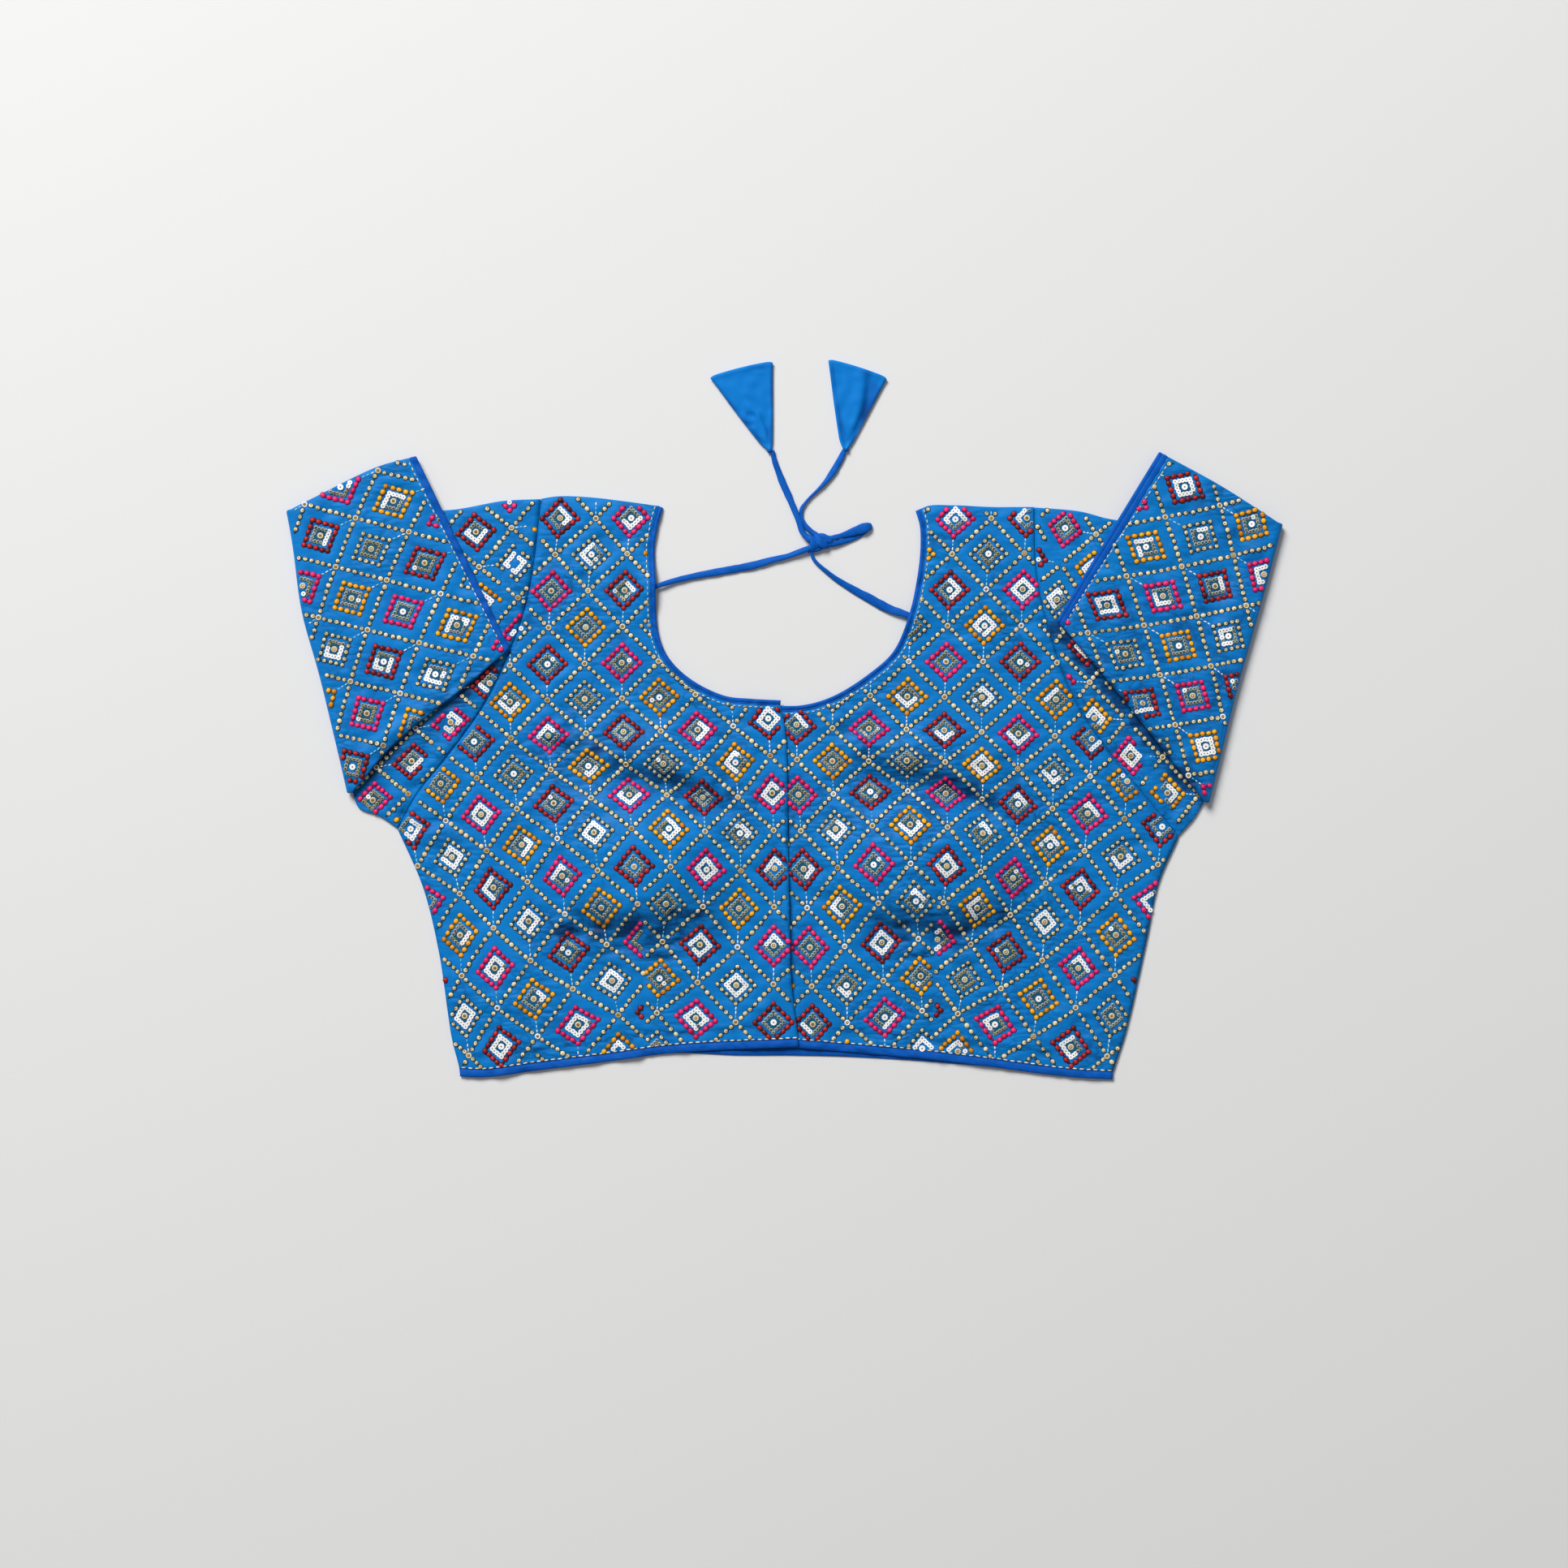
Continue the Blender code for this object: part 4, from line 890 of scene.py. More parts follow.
QUILT = 0.55          # how far the plain cloth stands up between two lines of stitching
PUCKER = 0.30         # uneven puckers over all of it


def puckers(x, y, seed):
    strong = 0.65 + 0.35 * ripple(x, y, seed + 1, 60, 120, count=8)
    fine = ripple(x, y, seed + 2, 6.5, 14, turn=82, spread=50) * 0.6 + ripple(x, y, seed + 3, 14, 34) * 1.0
    return PUCKER * np.clip(strong, 0.2, 1.4) * fine


class Quilt:
    """Height of the plain cloth between the lines of stitching, on a raster of one cell a millimetre."""

    def __init__(self, maps, box):
        self.low = np.array(box[:2], float)
        size = (np.array(box[2:]) - self.low).astype(int) + 2
        total, count = np.zeros(size), np.zeros(size)
        for place_of, keep in maps:
            i, j = np.meshgrid(np.arange(-4.5, 10.5, 0.02), np.arange(-4.5, 10.5, 0.02), indexing="ij")
            i, j = i.ravel(), j.ravel()
            p = place_of(i, j)
            ok = keep(p, i, j)
            i, j, p = i[ok], j[ok], p[ok]
            away = np.maximum(abs(i - np.round(i)), abs(j - np.round(j)))
            puff = np.sin(np.pi * np.clip((away - 0.27) / 0.22, 0, 1)) ** 0.8
            cell = np.round(p - self.low).astype(int)
            ok = (cell >= 0).all(1) & (cell < size).all(1)
            np.add.at(total, tuple(cell[ok].T), puff[ok])
            np.add.at(count, tuple(cell[ok].T), 1)
        self.grid = np.where(count > 0, total / np.maximum(count, 1), 0.0)
        for _ in range(1):   # one pass of smoothing
            g = np.pad(self.grid, 1, mode="edge")
            self.grid = (2 * g[1:-1, 1:-1] + g[:-2, 1:-1] + g[2:, 1:-1] + g[1:-1, :-2] + g[1:-1, 2:]) / 6

    def at(self, x, y):
        shape = np.shape(x)
        p = np.stack([np.ravel(x), np.ravel(y)], 1) - self.low
        top = np.array(self.grid.shape) - 2
        p = np.clip(p, 0, top)
        a = np.minimum(p.astype(int), top)
        f = p - a
        g = self.grid
        out = (g[a[:, 0], a[:, 1]] * (1 - f[:, 0]) * (1 - f[:, 1]) + g[a[:, 0] + 1, a[:, 1]] * f[:, 0] * (1 - f[:, 1])
               + g[a[:, 0], a[:, 1] + 1] * (1 - f[:, 0]) * f[:, 1] + g[a[:, 0] + 1, a[:, 1] + 1] * f[:, 0] * f[:, 1])
        return out.reshape(shape)


# ------------------------------------------------------------ making pieces
SHIFT = np.array([SHIFT_X, SHIFT_Y, 0.0])
CLOTH = 0.85          # the cloth alone, without its embroidery
PIECES = {}


def piece(name, points, faces, materials, replaces=(), faces_of=None, solid=0.0, smooth_shading=True, shade_and_pucker=None):
    """A mesh in millimetres as an object that rides on the blouse."""
    points = (np.asarray(points, float) + SHIFT) * MM
    mesh = bpy.data.meshes.new(name)
    sizes = {len(f) for f in faces} if isinstance(faces, list) else {faces.shape[1]}
    if len(sizes) == 1:   # quick way
        faces = np.asarray(faces, np.int32)
        count, corners = faces.shape
        mesh.vertices.add(len(points))
        mesh.vertices.foreach_set("co", points.astype(np.float32).ravel())
        mesh.loops.add(count * corners)
        mesh.loops.foreach_set("vertex_index", faces.ravel())
        mesh.polygons.add(count)
        mesh.polygons.foreach_set("loop_start", np.arange(0, count * corners, corners, dtype=np.int32))
        mesh.update(calc_edges=True)
    else:
        mesh.from_pydata([tuple(p) for p in points], [], [tuple(int(i) for i in f) for f in faces])
    mesh.validate()
    for m in materials:
        mesh.materials.append(MATERIALS[m])
    if faces_of is not None:
        mesh.polygons.foreach_set("material_index", np.asarray(faces_of, np.int32))
    # painted shade, which also says how strong the cloth's puckers are
    if shade_and_pucker is not None:
        mesh.attributes.new("shade_and_pucker", "FLOAT", "POINT").data.foreach_set("value", np.asarray(shade_and_pucker, np.float32))
    if smooth_shading:
        mesh.shade_smooth()
    obj = bpy.data.objects.new(name, mesh)
    bpy.context.scene.collection.objects.link(obj)
    if solid:
        shell = obj.modifiers.new("cloth", "SOLIDIFY")
        shell.thickness, shell.offset, shell.use_even_offset = solid * MM, 0.0, False
    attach(obj, "root")
    if replaces:
        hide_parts(*replaces)
    PIECES[name] = obj
    return obj


def dart_x(side, y):
    rows = DART[side]
    return np.interp(-np.asarray(y), [-p[1] for p in rows], [p[0] for p in rows])


def seams_near(x, y, lines, width):
    """1 on any of the lines, falling away to 0 beside them."""
    out = np.zeros(np.shape(x)).ravel()
    px, py = np.ravel(x), np.ravel(y)
    for line in lines:
        low, high = line.min(0) - 4 * width, line.max(0) + 4 * width
        near = np.flatnonzero((px > low[0]) & (px < high[0]) & (py > low[1]) & (py < high[1]))
        if len(near):
            d, _ = nearest_on(line, px[near], py[near])
            out[near] = np.maximum(out[near], np.exp(-((d / width) ** 2)))
    return out.reshape(np.shape(x))


def front_quilt(side):
    sign = 1 if side == "left" else -1
    maps = []
    for branch in ("side", "centre"):
        def keep(p, i, j, branch=branch):
            across = sign * (p[:, 0] - dart_x(side, p[:, 1]))
            return ((across < 0) if branch == "side" else (across >= 0)) & (abs(i - j) < 8) & (i + j > -4) & (i + j < 14)
        maps.append((lambda i, j, branch=branch: front_map(side, i, j, branch), keep))
    return Quilt(maps, (-262, -215, 262, 190))


def all_of(p, i, j):
    return np.ones(len(p), bool)


QUILTS = {side: front_quilt(side) for side in ("left", "right")}
for _side in ("left", "right"):
    QUILTS["under_" + _side] = Quilt([
        (lambda i, j, s=_side: sleeve_map(s + "_top", i, j), lambda p, i, j: p[:, 1] > 84),
        (lambda i, j, s=_side: sleeve_map(s + "_low", i, j), lambda p, i, j: p[:, 1] <= 84)],
        (-330, -50, 330, 190))
    QUILTS["flap_" + _side] = Quilt([(lambda i, j, s=_side: flap_map(s, i, j), all_of)], (-340, -40, 340, 215))

ARM_LINES = {side: smooth(ARMHOLE[side]) for side in ("left", "right")}
SIDE_LINES = {side: smooth([HEM[side][0]] + SIDE[side][1:]) for side in ("left", "right")}
SHOULDER_LINES = {side: smooth(SHOULDER[side]) for side in ("left", "right")}


def dart_line(side):
    return smooth([p for p in DART[side]], per=8)


def front_height(x, y, side):
    """Middle of a front's cloth, folds and all."""
    z = front_z(x, y, side) + swells(x, y) + creases(x, y, FRONT_FOLDS)
    rim = seams_near(x, y, [SIDE_LINES[side], SHOULDER_LINES[side]], 3.0)
    seam = seams_near(x, y, [ARM_LINES[side]], 2.2)
    dart = seams_near(x, y, [dart_line(side)], 1.6) * ease((DART_TOP - y) / 10.0)
    calm = 1 - np.maximum(rim, seam)
    z = z + (QUILT * QUILTS[side].at(x, y) + puckers(x, y, 11 if side == "left" else 23) * (0.75 + 1.1 * deeps(x, y, SHADE_AND_PUCKER_ROWS))) * calm
    pinch = 0.5 + 0.5 * ripple(x, y, 5, 5, 9, count=6)
    return z - 0.5 * rim - (0.35 + 0.25 * pinch) * seam - 0.55 * dart


def under_height(x, y, side):
    """Middle of the upper layer of a sleeve, where it lies flat."""
    z = front_z(x, y, "none") + creases(x, y, UNDER_FOLDS)
    seam = seams_near(x, y, [ARM_LINES[side]], 2.2)
    z = z + (QUILT * QUILTS["under_" + side].at(x, y) + puckers(x, y, 31 if side == "left" else 37)) * (1 - seam)
    pinch = 0.5 + 0.5 * ripple(x, y, 5, 5, 9, count=6)
    return z - (0.35 + 0.25 * pinch) * seam


def flap_relief(x, y, side):
    """What the folds add to the flap's upper layer."""
    return (creases(x, y, FLAP_FOLDS[side]) + QUILT * QUILTS["flap_" + side].at(x, y)
            + puckers(x, y, 41 if side == "left" else 47) * (1.0 if side == "left" else 1.35))


# ------------------------------------------------------------ body
FINE = (48, 40), (88, 50, 76)
FINE_BACK = (18, 22), (34, 18, 28)


def build_fronts():
    for side in ("left", "right"):
        points, faces = panel(side, False, *FINE)
        points, faces = merged(np.column_stack([points, np.zeros(len(points))]), faces)
        points[:, 2] = front_height(points[:, 0], points[:, 1], side)
        piece(f"front_{side}_cloth", points, facing_up(points, faces), ["cloth"],
              [f"front_{side}"], solid=CLOTH, shade_and_pucker=deeps(points[:, 0], points[:, 1], SHADE_AND_PUCKER_ROWS))


def build_back():
    points, faces = [], []
    for side in ("left", "right"):
        p, f = panel(side, True, *FINE_BACK)
        faces += [tuple(i + sum(map(len, points)) for i in face) for face in f]
        points.append(p)
    p = np.vstack(points)
    points, faces = merged(np.column_stack([p, np.zeros(len(p))]), faces)
    x, y = points[:, 0], points[:, 1]
    rim = seams_near(x, y, [SIDE_LINES[s] for s in SIDE_LINES] + [SHOULDER_LINES[s] for s in SHOULDER_LINES], 3.0)
    points[:, 2] = BACK_Z + 0.2 * rim + 0.1 * np.clip(ripple(x, y, 3, 18, 50), -1, 1) * (1 - rim)
    piece("back_cloth", points, facing_up(points, faces), ["cloth"], ["back_panel"], solid=CLOTH,
          shade_and_pucker=0.15 + 0 * points[:, 0])


# ------------------------------------------------------------ bindings
def rolled(name, edge, width, inward, height, seed, swell=0.75, groove=0.72, thick=1.3, materials=("binding",),
           replaces=(), tuck=0.0):
    """A binding: cloth rolled over an edge, with a stitched groove near its inner side.
    edge is its outer line; inward is +1 where the cloth lies on the left of the line."""
    count = max(12, int(length(edge) / 1.7))
    base = along(edge, np.linspace(0, 1, count))
    # share of the width, height as a share of the thickness
    profile = [(0.0, 0.5), (0.05, 0.78), (0.16, 1.0), (0.34, 1.08), (0.54, 1.0), (groove - 0.05, 0.84), (groove, 0.66),
               (groove + 0.07, 0.84), (0.93, 0.86), (1.0, 0.6), (1.0, 0.34), (0.7, 0.06), (0.3, 0.0), (0.06, 0.16)]
    run = np.gradient(base, axis=0)
    run /= np.linalg.norm(run, axis=1)[:, None]
    normal = np.stack([-run[:, 1], run[:, 0]], 1) * inward
    share = np.linspace(0, 1, count)
    distance = share * length(edge)
    draw = np.random.default_rng(seed)
    wobble = sum(np.sin(2 * np.pi * distance / w + draw.uniform(0, 6.28)) * a
                 for w, a in ((5.3, 0.05), (8.7, 0.06), (17.0, 0.07), (41.0, 0.08)))
    rings = []
    for across, up in profile:
        p = base + normal * ((across + (0.03 * wobble[:, None] if 0 < across < 1 else 0)) * (width + tuck))
        z = height(p[:, 0], p[:, 1]) - thick / 2 + thick * up * (1 + (swell * wobble if up > 0.7 else 0))
        rings.append(np.column_stack([p, z]))
    rings = np.stack(rings, 1)
    n = len(profile)
    faces = grid_faces(count, n, ring=True)
    points = rings.reshape(-1, 3)
    faces += [tuple(range(first, first + n)) for first in (0, (count - 1) * n)]
    return piece(name, points, oriented(points, faces), list(materials), replaces)


def oriented(points, faces):
    """Faces of a closed mesh turned outward, as Blender works it out."""
    import bmesh
    bm = bmesh.new()
    made = [bm.verts.new(tuple(p)) for p in points]
    for f in faces:
        try:
            bm.faces.new([made[i] for i in f])
        except ValueError:
            pass
    bm.verts.index_update()
    bmesh.ops.recalc_face_normals(bm, faces=bm.faces)
    out = [tuple(v.index for v in f.verts) for f in bm.faces]
    bm.free()
    return out


def build_bindings():
    back = lambda x, y: np.full(np.shape(x), BACK_Z + 0.05)
    for side in ("left", "right"):
        sign = 1.0 if side == "left" else -1.0
        neck, _, hem, _ = panel_edges(side)
        height = lambda x, y, side=side: front_height(x, y, side) + 0.1
        rolled(f"neck_piping_{side}", neck, NECK_BAND, sign, height, 61, groove=0.7, thick=1.6,
               replaces=[f"neck_binding_{side}"], tuck=0.7)
        rolled(f"hem_band_{side}", hem, HEM_BAND, sign, height, 67, groove=0.86, thick=1.35,
               replaces=[f"hem_binding_{side}"], tuck=0.7)
    edges = {side: panel_edges(side, True) for side in ("left", "right")}
    neck = np.vstack([edges["left"][0][::-1][:-1], edges["right"][0]])
    hem = np.vstack([edges["left"][2][:-1], edges["right"][2][::-1]])
    rolled("neck_piping_back", neck, NECK_BAND, -1.0, back, 71, groove=0.7, thick=1.05, replaces=["neck_binding_back"],
           tuck=0.6, swell=0.4)
    rolled("hem_band_back", hem, HEM_BAND, 1.0, back, 73, groove=0.86, thick=1.05, replaces=["hem_binding_back"],
           tuck=0.6, swell=0.4)


# ------------------------------------------------------------ sleeves
SLEEVE_ROWS = (6, 34, 50)            # points across: beside the body's lower and upper patches
SLEEVE_STATIONS = (44, 12, 56)
EDGE_TURNS = 7
FOLD_BOW = {"left": [(0.34, 0.20, 4.2), (0.7, 0.2, 0.9)], "right": [(0.6, 0.25, -1.2)]}   # share along, spread, mm


def sleeve_tube(side):
    """Rings of the flattened tube, as the part has them but finer and with the folds."""
    t = SLEEVE[side]
    rows, (under_n, bend_n, over_n) = SLEEVE_ROWS, SLEEVE_STATIONS
    sign = -1.0 if side == "left" else 1.0
    arm = armhole(side, rows, True)[::-1]
    across = len(arm) - 1
    k = 1 - arm_shares(rows)[::-1][:, None]
    fold_top, fold_low = np.array(t["under_top"][-1]), np.array(t["under_low"][-1])
    along_fold = (fold_low - fold_top) / np.linalg.norm(fold_low - fold_top)
    outward = np.array([-along_fold[1], along_fold[0]])
    outward *= np.sign(outward[0]) * sign
    fold = fold_top * (1 - k) + fold_low * k + outward * fold_bow(side, k)
    under = patch(split(smooth([arm[0]] + t["under_top"][1:]), 0, 1, under_n),
                  split(smooth([arm[-1]] + t["under_low"][1:]), 0, 1, under_n), arm, fold)
    over_top, over_low = smooth(t["over_top"]), smooth(t["over_low"])
    cuff = over_top[-1] * (1 - k) + over_low[-1] * k
    band = CUFF_BAND[side]
    reach = 0.5 * (length(over_top) + length(over_low))
    stops = np.r_[np.linspace(0, 1 - band / reach, over_n + 1)]

    def over_at(share):
        a, b = along(over_top, [share])[0], along(over_low, [share])[0]
        line = fold * (1 - share) + cuff * share
        return line + (a - line[0]) * (1 - k) + (b - line[-1]) * k

    half = LAYER / 2
    middle_z = BACK_Z + half
    ease_in = np.minimum(1, np.minimum(np.arange(across + 1), across - np.arange(across + 1)) / 3.0)

    def ring(line, middle, up, top, top_add, round_edge=1.0):
        """front layer, low edge, back layer, top edge; top says which layer gets the folds."""
        run = np.gradient(line, axis=0)
        run /= np.linalg.norm(run, axis=1)[:, None]
        inset = half + WALL / 2
        line = line.copy()
        line[0] += run[0] * inset
        line[-1] -= run[-1] * inset
        flat = np.column_stack([line, middle])
        front, back = flat + up * half, (flat - up * half)
        add = top_add(line) * ease_in
        if top == "front":
            front[:, 2] += add
        elif top == "back":
            back[:, 2] += add
        turns = np.radians(np.linspace(90, -90, EDGE_TURNS + 2)[1:-1])
        low_edge = [flat[-1] + np.append(run[-1], 0) * half * round_edge * np.cos(a) + up[-1] * half * np.sin(a) for a in turns]
        top_edge = [flat[0] - np.append(run[0], 0) * half * round_edge * np.cos(a) - up[0] * half * np.sin(a) for a in turns]
        return np.vstack([front, low_edge, back[::-1], top_edge])

    z_up = np.tile([0.0, 0.0, 1.0], (across + 1, 1))
    rings = []
    for n in range(under_n + 1):
        fade = ease((under_n - n) / 4.0)
        rings.append(ring(under[:, n], np.full(across + 1, middle_z), z_up, "front",
                          lambda l, fade=fade: (under_height(l[:, 0], l[:, 1], side) - FRONT_Z) * fade))
    for n in range(1, bend_n):
        a = np.pi * n / bend_n
        line = fold + outward * FOLD_R * np.sin(a)
        up = np.tile([-outward[0] * np.sin(a), -outward[1] * np.sin(a), np.cos(a)], (across + 1, 1))
        rings.append(ring(line, np.full(across + 1, middle_z + FOLD_R * (1 - np.cos(a))), up, None,
                          lambda l: np.zeros(len(l))))
    for n, share in enumerate(stops):
        line = over_at(share)
        from_fold = -(line - fold_top) @ outward
        middle = middle_z + 2 * LAYER + (2 * FOLD_R - 2 * LAYER) * np.exp(-((from_fold / 24.0) ** 2))
        middle = middle + front_z(line[:, 0], line[:, 1], "none") - FRONT_Z + flap_lift(line, side)
        fade = ease(n / 4.0)
        rings.append(ring(line, middle, -z_up, "back", lambda l, fade=fade: flap_relief(l[:, 0], l[:, 1], side) * fade))
    run = [(line[1] - line[0]) / np.linalg.norm(line[1] - line[0]), (line[-1] - line[-2]) / np.linalg.norm(line[-1] - line[-2])]
    turns = np.radians(np.linspace(90, -90, EDGE_TURNS + 2)[1:-1])
    low_edge = [np.append(run[1], 0) * np.cos(a) - z_up[0] * np.sin(a) for a in turns]
    top_edge = [-np.append(run[0], 0) * np.cos(a) + z_up[0] * np.sin(a) for a in turns]
    normals = np.vstack([-z_up, low_edge, z_up, top_edge])
    return np.array(rings), normals


def fold_bow(side, share):
    """How far the fold stands out from the straight between its ends."""
    rows = FOLD_BOW[side]
    return sum(h * np.exp(-((share - at) / wide) ** 2) for at, wide, h in rows) * np.sin(np.pi * np.clip(share, 0, 1)) ** 0.5


def flap_lift(line, side):
    """The right flap stands up a little along its lower edge; the left one near its tip."""
    if side == "right":
        d, share = nearest_on(smooth(SLEEVE[side]["over_low"]), line[:, 0], line[:, 1])
        return 3.0 * np.exp(-((d / 16.0) ** 2)) * np.sin(np.pi * np.clip(share, 0.0, 1)) ** 0.6
    d, share = nearest_on(smooth(SLEEVE[side]["over_low"]), line[:, 0], line[:, 1])
    return 1.2 * np.exp(-((d / 12.0) ** 2)) * np.sin(np.pi * np.clip(share, 0.0, 1)) ** 0.8


CUFF_EDGE = {}


def build_sleeves():
    for side in ("left", "right"):
        rings, end_normals = sleeve_tube(side)
        n, m = rings.shape[:2]
        points = rings.reshape(-1, 3)
        faces = grid_faces(n, m, ring=True)
        faces = oriented(points, faces)
        # painted shade: the flaps' shadow and folds on the sleeve under them, and the flaps' own dark folds
        shade_and_pucker = np.full((n, m), 0.15)
        over = SLEEVE_STATIONS[0] + SLEEVE_STATIONS[1]
        shade_and_pucker[:over] = deeps(rings[:over, :, 0], rings[:over, :, 1], SHADE_AND_PUCKER_ROWS)
        shade_and_pucker[over:] = deeps(rings[over:, :, 0], rings[over:, :, 1], FLAP_SHADE_AND_PUCKER_ROWS[side])
        piece(f"sleeve_{side}_cloth", points, faces, ["cloth"], [f"sleeve_{side}"], solid=CLOTH,
              shade_and_pucker=shade_and_pucker.ravel())
        # the cuff: a band rolled over the tube's end, all round it
        last, before, normal = rings[-1], rings[-4], end_normals
        out = last - before
        out[:, 2] *= 0.3
        out /= np.linalg.norm(out, axis=1)[:, None]
        band, m = CUFF_BAND[side], len(last)
        distance = np.r_[0, np.cumsum(np.linalg.norm(np.diff(last, axis=0), axis=1))]
        draw = np.random.default_rng(83)
        wobble = sum(np.sin(2 * np.pi * distance / w + draw.uniform(0, 6.28)) * s
                     for w, s in ((5.1, 0.05), (9.3, 0.07), (23.0, 0.08)))[:, None]
        # along the tube from its end, and away from its surface
        profile = [(-0.9, 0.15), (-0.7, 0.42), (band * 0.1, 0.62), (band * 0.3, 0.74), (band * 0.5, 0.66)]
        if side == "right":   # stitched down twice
            profile += [(band * 0.56, 0.40), (band * 0.62, 0.64), (band * 0.8, 0.7)]
        profile += [(band * 0.9, 0.6), (band, 0.2), (band, -0.3), (band * 0.85, -0.5), (band * 0.3, -0.55), (-0.7, -0.45), (-0.9, -0.1)]
        loops = [last + out * s + normal * (h * (1 + (0.9 * wobble if h > 0.5 else 0))) for s, h in profile]
        points = np.array(loops).reshape(-1, 3)
        faces = grid_faces(len(profile), m, ring=True)
        faces += [((len(profile) - 1) * m + c, (len(profile) - 1) * m + (c + 1) % m, (c + 1) % m, c) for c in range(m)]
        piece(f"cuff_{side}", points, oriented(points, faces), ["binding"], [f"cuff_binding_{side}"])
        CUFF_EDGE[side] = (last, out, normal)


# ------------------------------------------------------------ tie
# Each tie is one narrow tube of cloth, pressed flat. Columns: x, y, z, width, flatness
# (thickness as a share of the width), twist in degrees.
TIE_LEFT = [
    (-86.5, 117.2, 3.6, 3.0, 0.56, 0), (-80.4, 119.4, 3.0, 3.0, 0.56, 0), (-72.0, 122.0, 2.1, 3.4, 0.50, 4), (-60.0, 124.8, 1.6, 4.0, 0.42, 6),
    (-46.0, 127.4, 1.4, 4.5, 0.36, 4), (-32.0, 129.8, 1.3, 4.9, 0.34, 0), (-20.0, 132.2, 1.4, 4.9, 0.34, 6),
    (-8.0, 135.6, 1.6, 4.3, 0.42, 14), (1.9, 138.0, 1.9, 3.6, 0.52, 20), (8.0, 140.2, 2.3, 3.7, 0.54, 16),
    (13.0, 142.0, 2.9, 3.8, 0.56, 10), (18.0, 144.0, 3.5, 3.4, 0.70, 0), (21.5, 146.6, 3.6, 3.0, 0.80, 0),
    (20.6, 148.6, 3.6, 3.2, 0.72, 0), (17.6, 148.2, 3.6, 3.6, 0.60, 0), (14.6, 150.6, 3.0, 3.8, 0.52, -6), (11.8, 154.0, 2.6, 3.8, 0.48, -4),
    (9.8, 160.2, 2.6, 3.8, 0.46, 0), (7.8, 165.4, 2.6, 3.9, 0.44, 2), (5.6, 170.6, 2.0, 3.9, 0.42, 0), (2.8, 177.4, 1.5, 4.3, 0.38, -4),
    (-0.8, 185.4, 1.4, 4.4, 0.36, -6), (-4.0, 193.6, 1.4, 4.0, 0.40, -4), (-6.6, 201.0, 1.5, 3.4, 0.50, 0), (-7.9, 207.2, 1.8, 2.8, 0.62, 0),
]
TIE_RIGHT = [
    (85.0, 97.4, 3.6, 3.8, 0.50, 0), (78.6, 100.2, 3.0, 4.2, 0.44, 0), (71.0, 102.6, 2.0, 5.4, 0.32, 0), (63.6, 106.0, 1.5, 5.7, 0.30, 2),
    (55.4, 110.6, 1.4, 5.4, 0.32, 4), (47.6, 114.8, 1.4, 4.9, 0.36, 8), (40.4, 119.0, 1.5, 4.2, 0.42, 14),
    (33.4, 123.4, 1.6, 3.6, 0.52, 26), (27.8, 127.8, 1.6, 3.2, 0.62, 34), (24.0, 131.0, 1.6, 2.9, 0.72, 40),
    (21.0, 133.8, 1.5, 2.7, 0.80, 40), (18.8, 136.8, 1.5, 2.3, 0.86, 30), (17.9, 140.2, 1.9, 2.1, 0.90, 20), (19.6, 143.6, 2.4, 2.6, 0.80, 0),
    (24.6, 147.0, 3.4, 3.2, 0.66, 0), (30.7, 149.6, 3.4, 3.3, 0.60, 0), (35.6, 150.8, 3.0, 3.6, 0.50, -4), (40.4, 152.3, 2.8, 4.0, 0.42, -6),
    (44.4, 153.7, 2.8, 5.0, 0.32, -6), (48.8, 155.3, 2.9, 5.9, 0.27, -4), (52.6, 156.5, 2.9, 6.2, 0.26, 0), (55.2, 157.3, 2.7, 5.4, 0.28, 0),
    (56.9, 157.6, 1.8, 3.4, 0.36, 0), (55.4, 156.9, 0.95, 4.4, 0.28, 0), (52.0, 154.6, 0.95, 4.4, 0.30, 0), (48.6, 151.9, 1.0, 3.8, 0.36, 0),
    (44.2, 149.8, 1.2, 3.6, 0.42, 0), (40.2, 148.3, 1.5, 3.6, 0.46, 4), (35.4, 146.9, 2.0, 3.8, 0.50, 4), (30.2, 146.0, 2.6, 3.8, 0.52, 4),
    (26.0, 147.6, 3.0, 3.4, 0.60, 4), (21.4, 151.6, 2.6, 3.2, 0.62, 0), (17.4, 154.4, 2.0, 3.3, 0.52, 6), (14.2, 157.6, 1.5, 3.0, 0.52, 10),
    (12.3, 161.0, 1.2, 2.4, 0.66, 20), (11.0, 165.0, 1.3, 2.4, 0.72, 20), (11.2, 169.0, 1.5, 2.7, 0.62, 20), (13.4, 172.6, 1.5, 2.2, 0.76, 36),
    (17.0, 176.8, 1.4, 1.9, 0.86, 48), (21.6, 181.2, 1.5, 2.2, 0.82, 44), (26.2, 186.0, 1.5, 3.0, 0.64, 30),
    (30.6, 191.6, 1.5, 4.2, 0.42, 14), (34.4, 197.6, 1.5, 4.3, 0.40, 6), (37.6, 203.6, 1.6, 3.6, 0.48, 0), (39.6, 208.2, 1.9, 2.8, 0.62, 0),
]
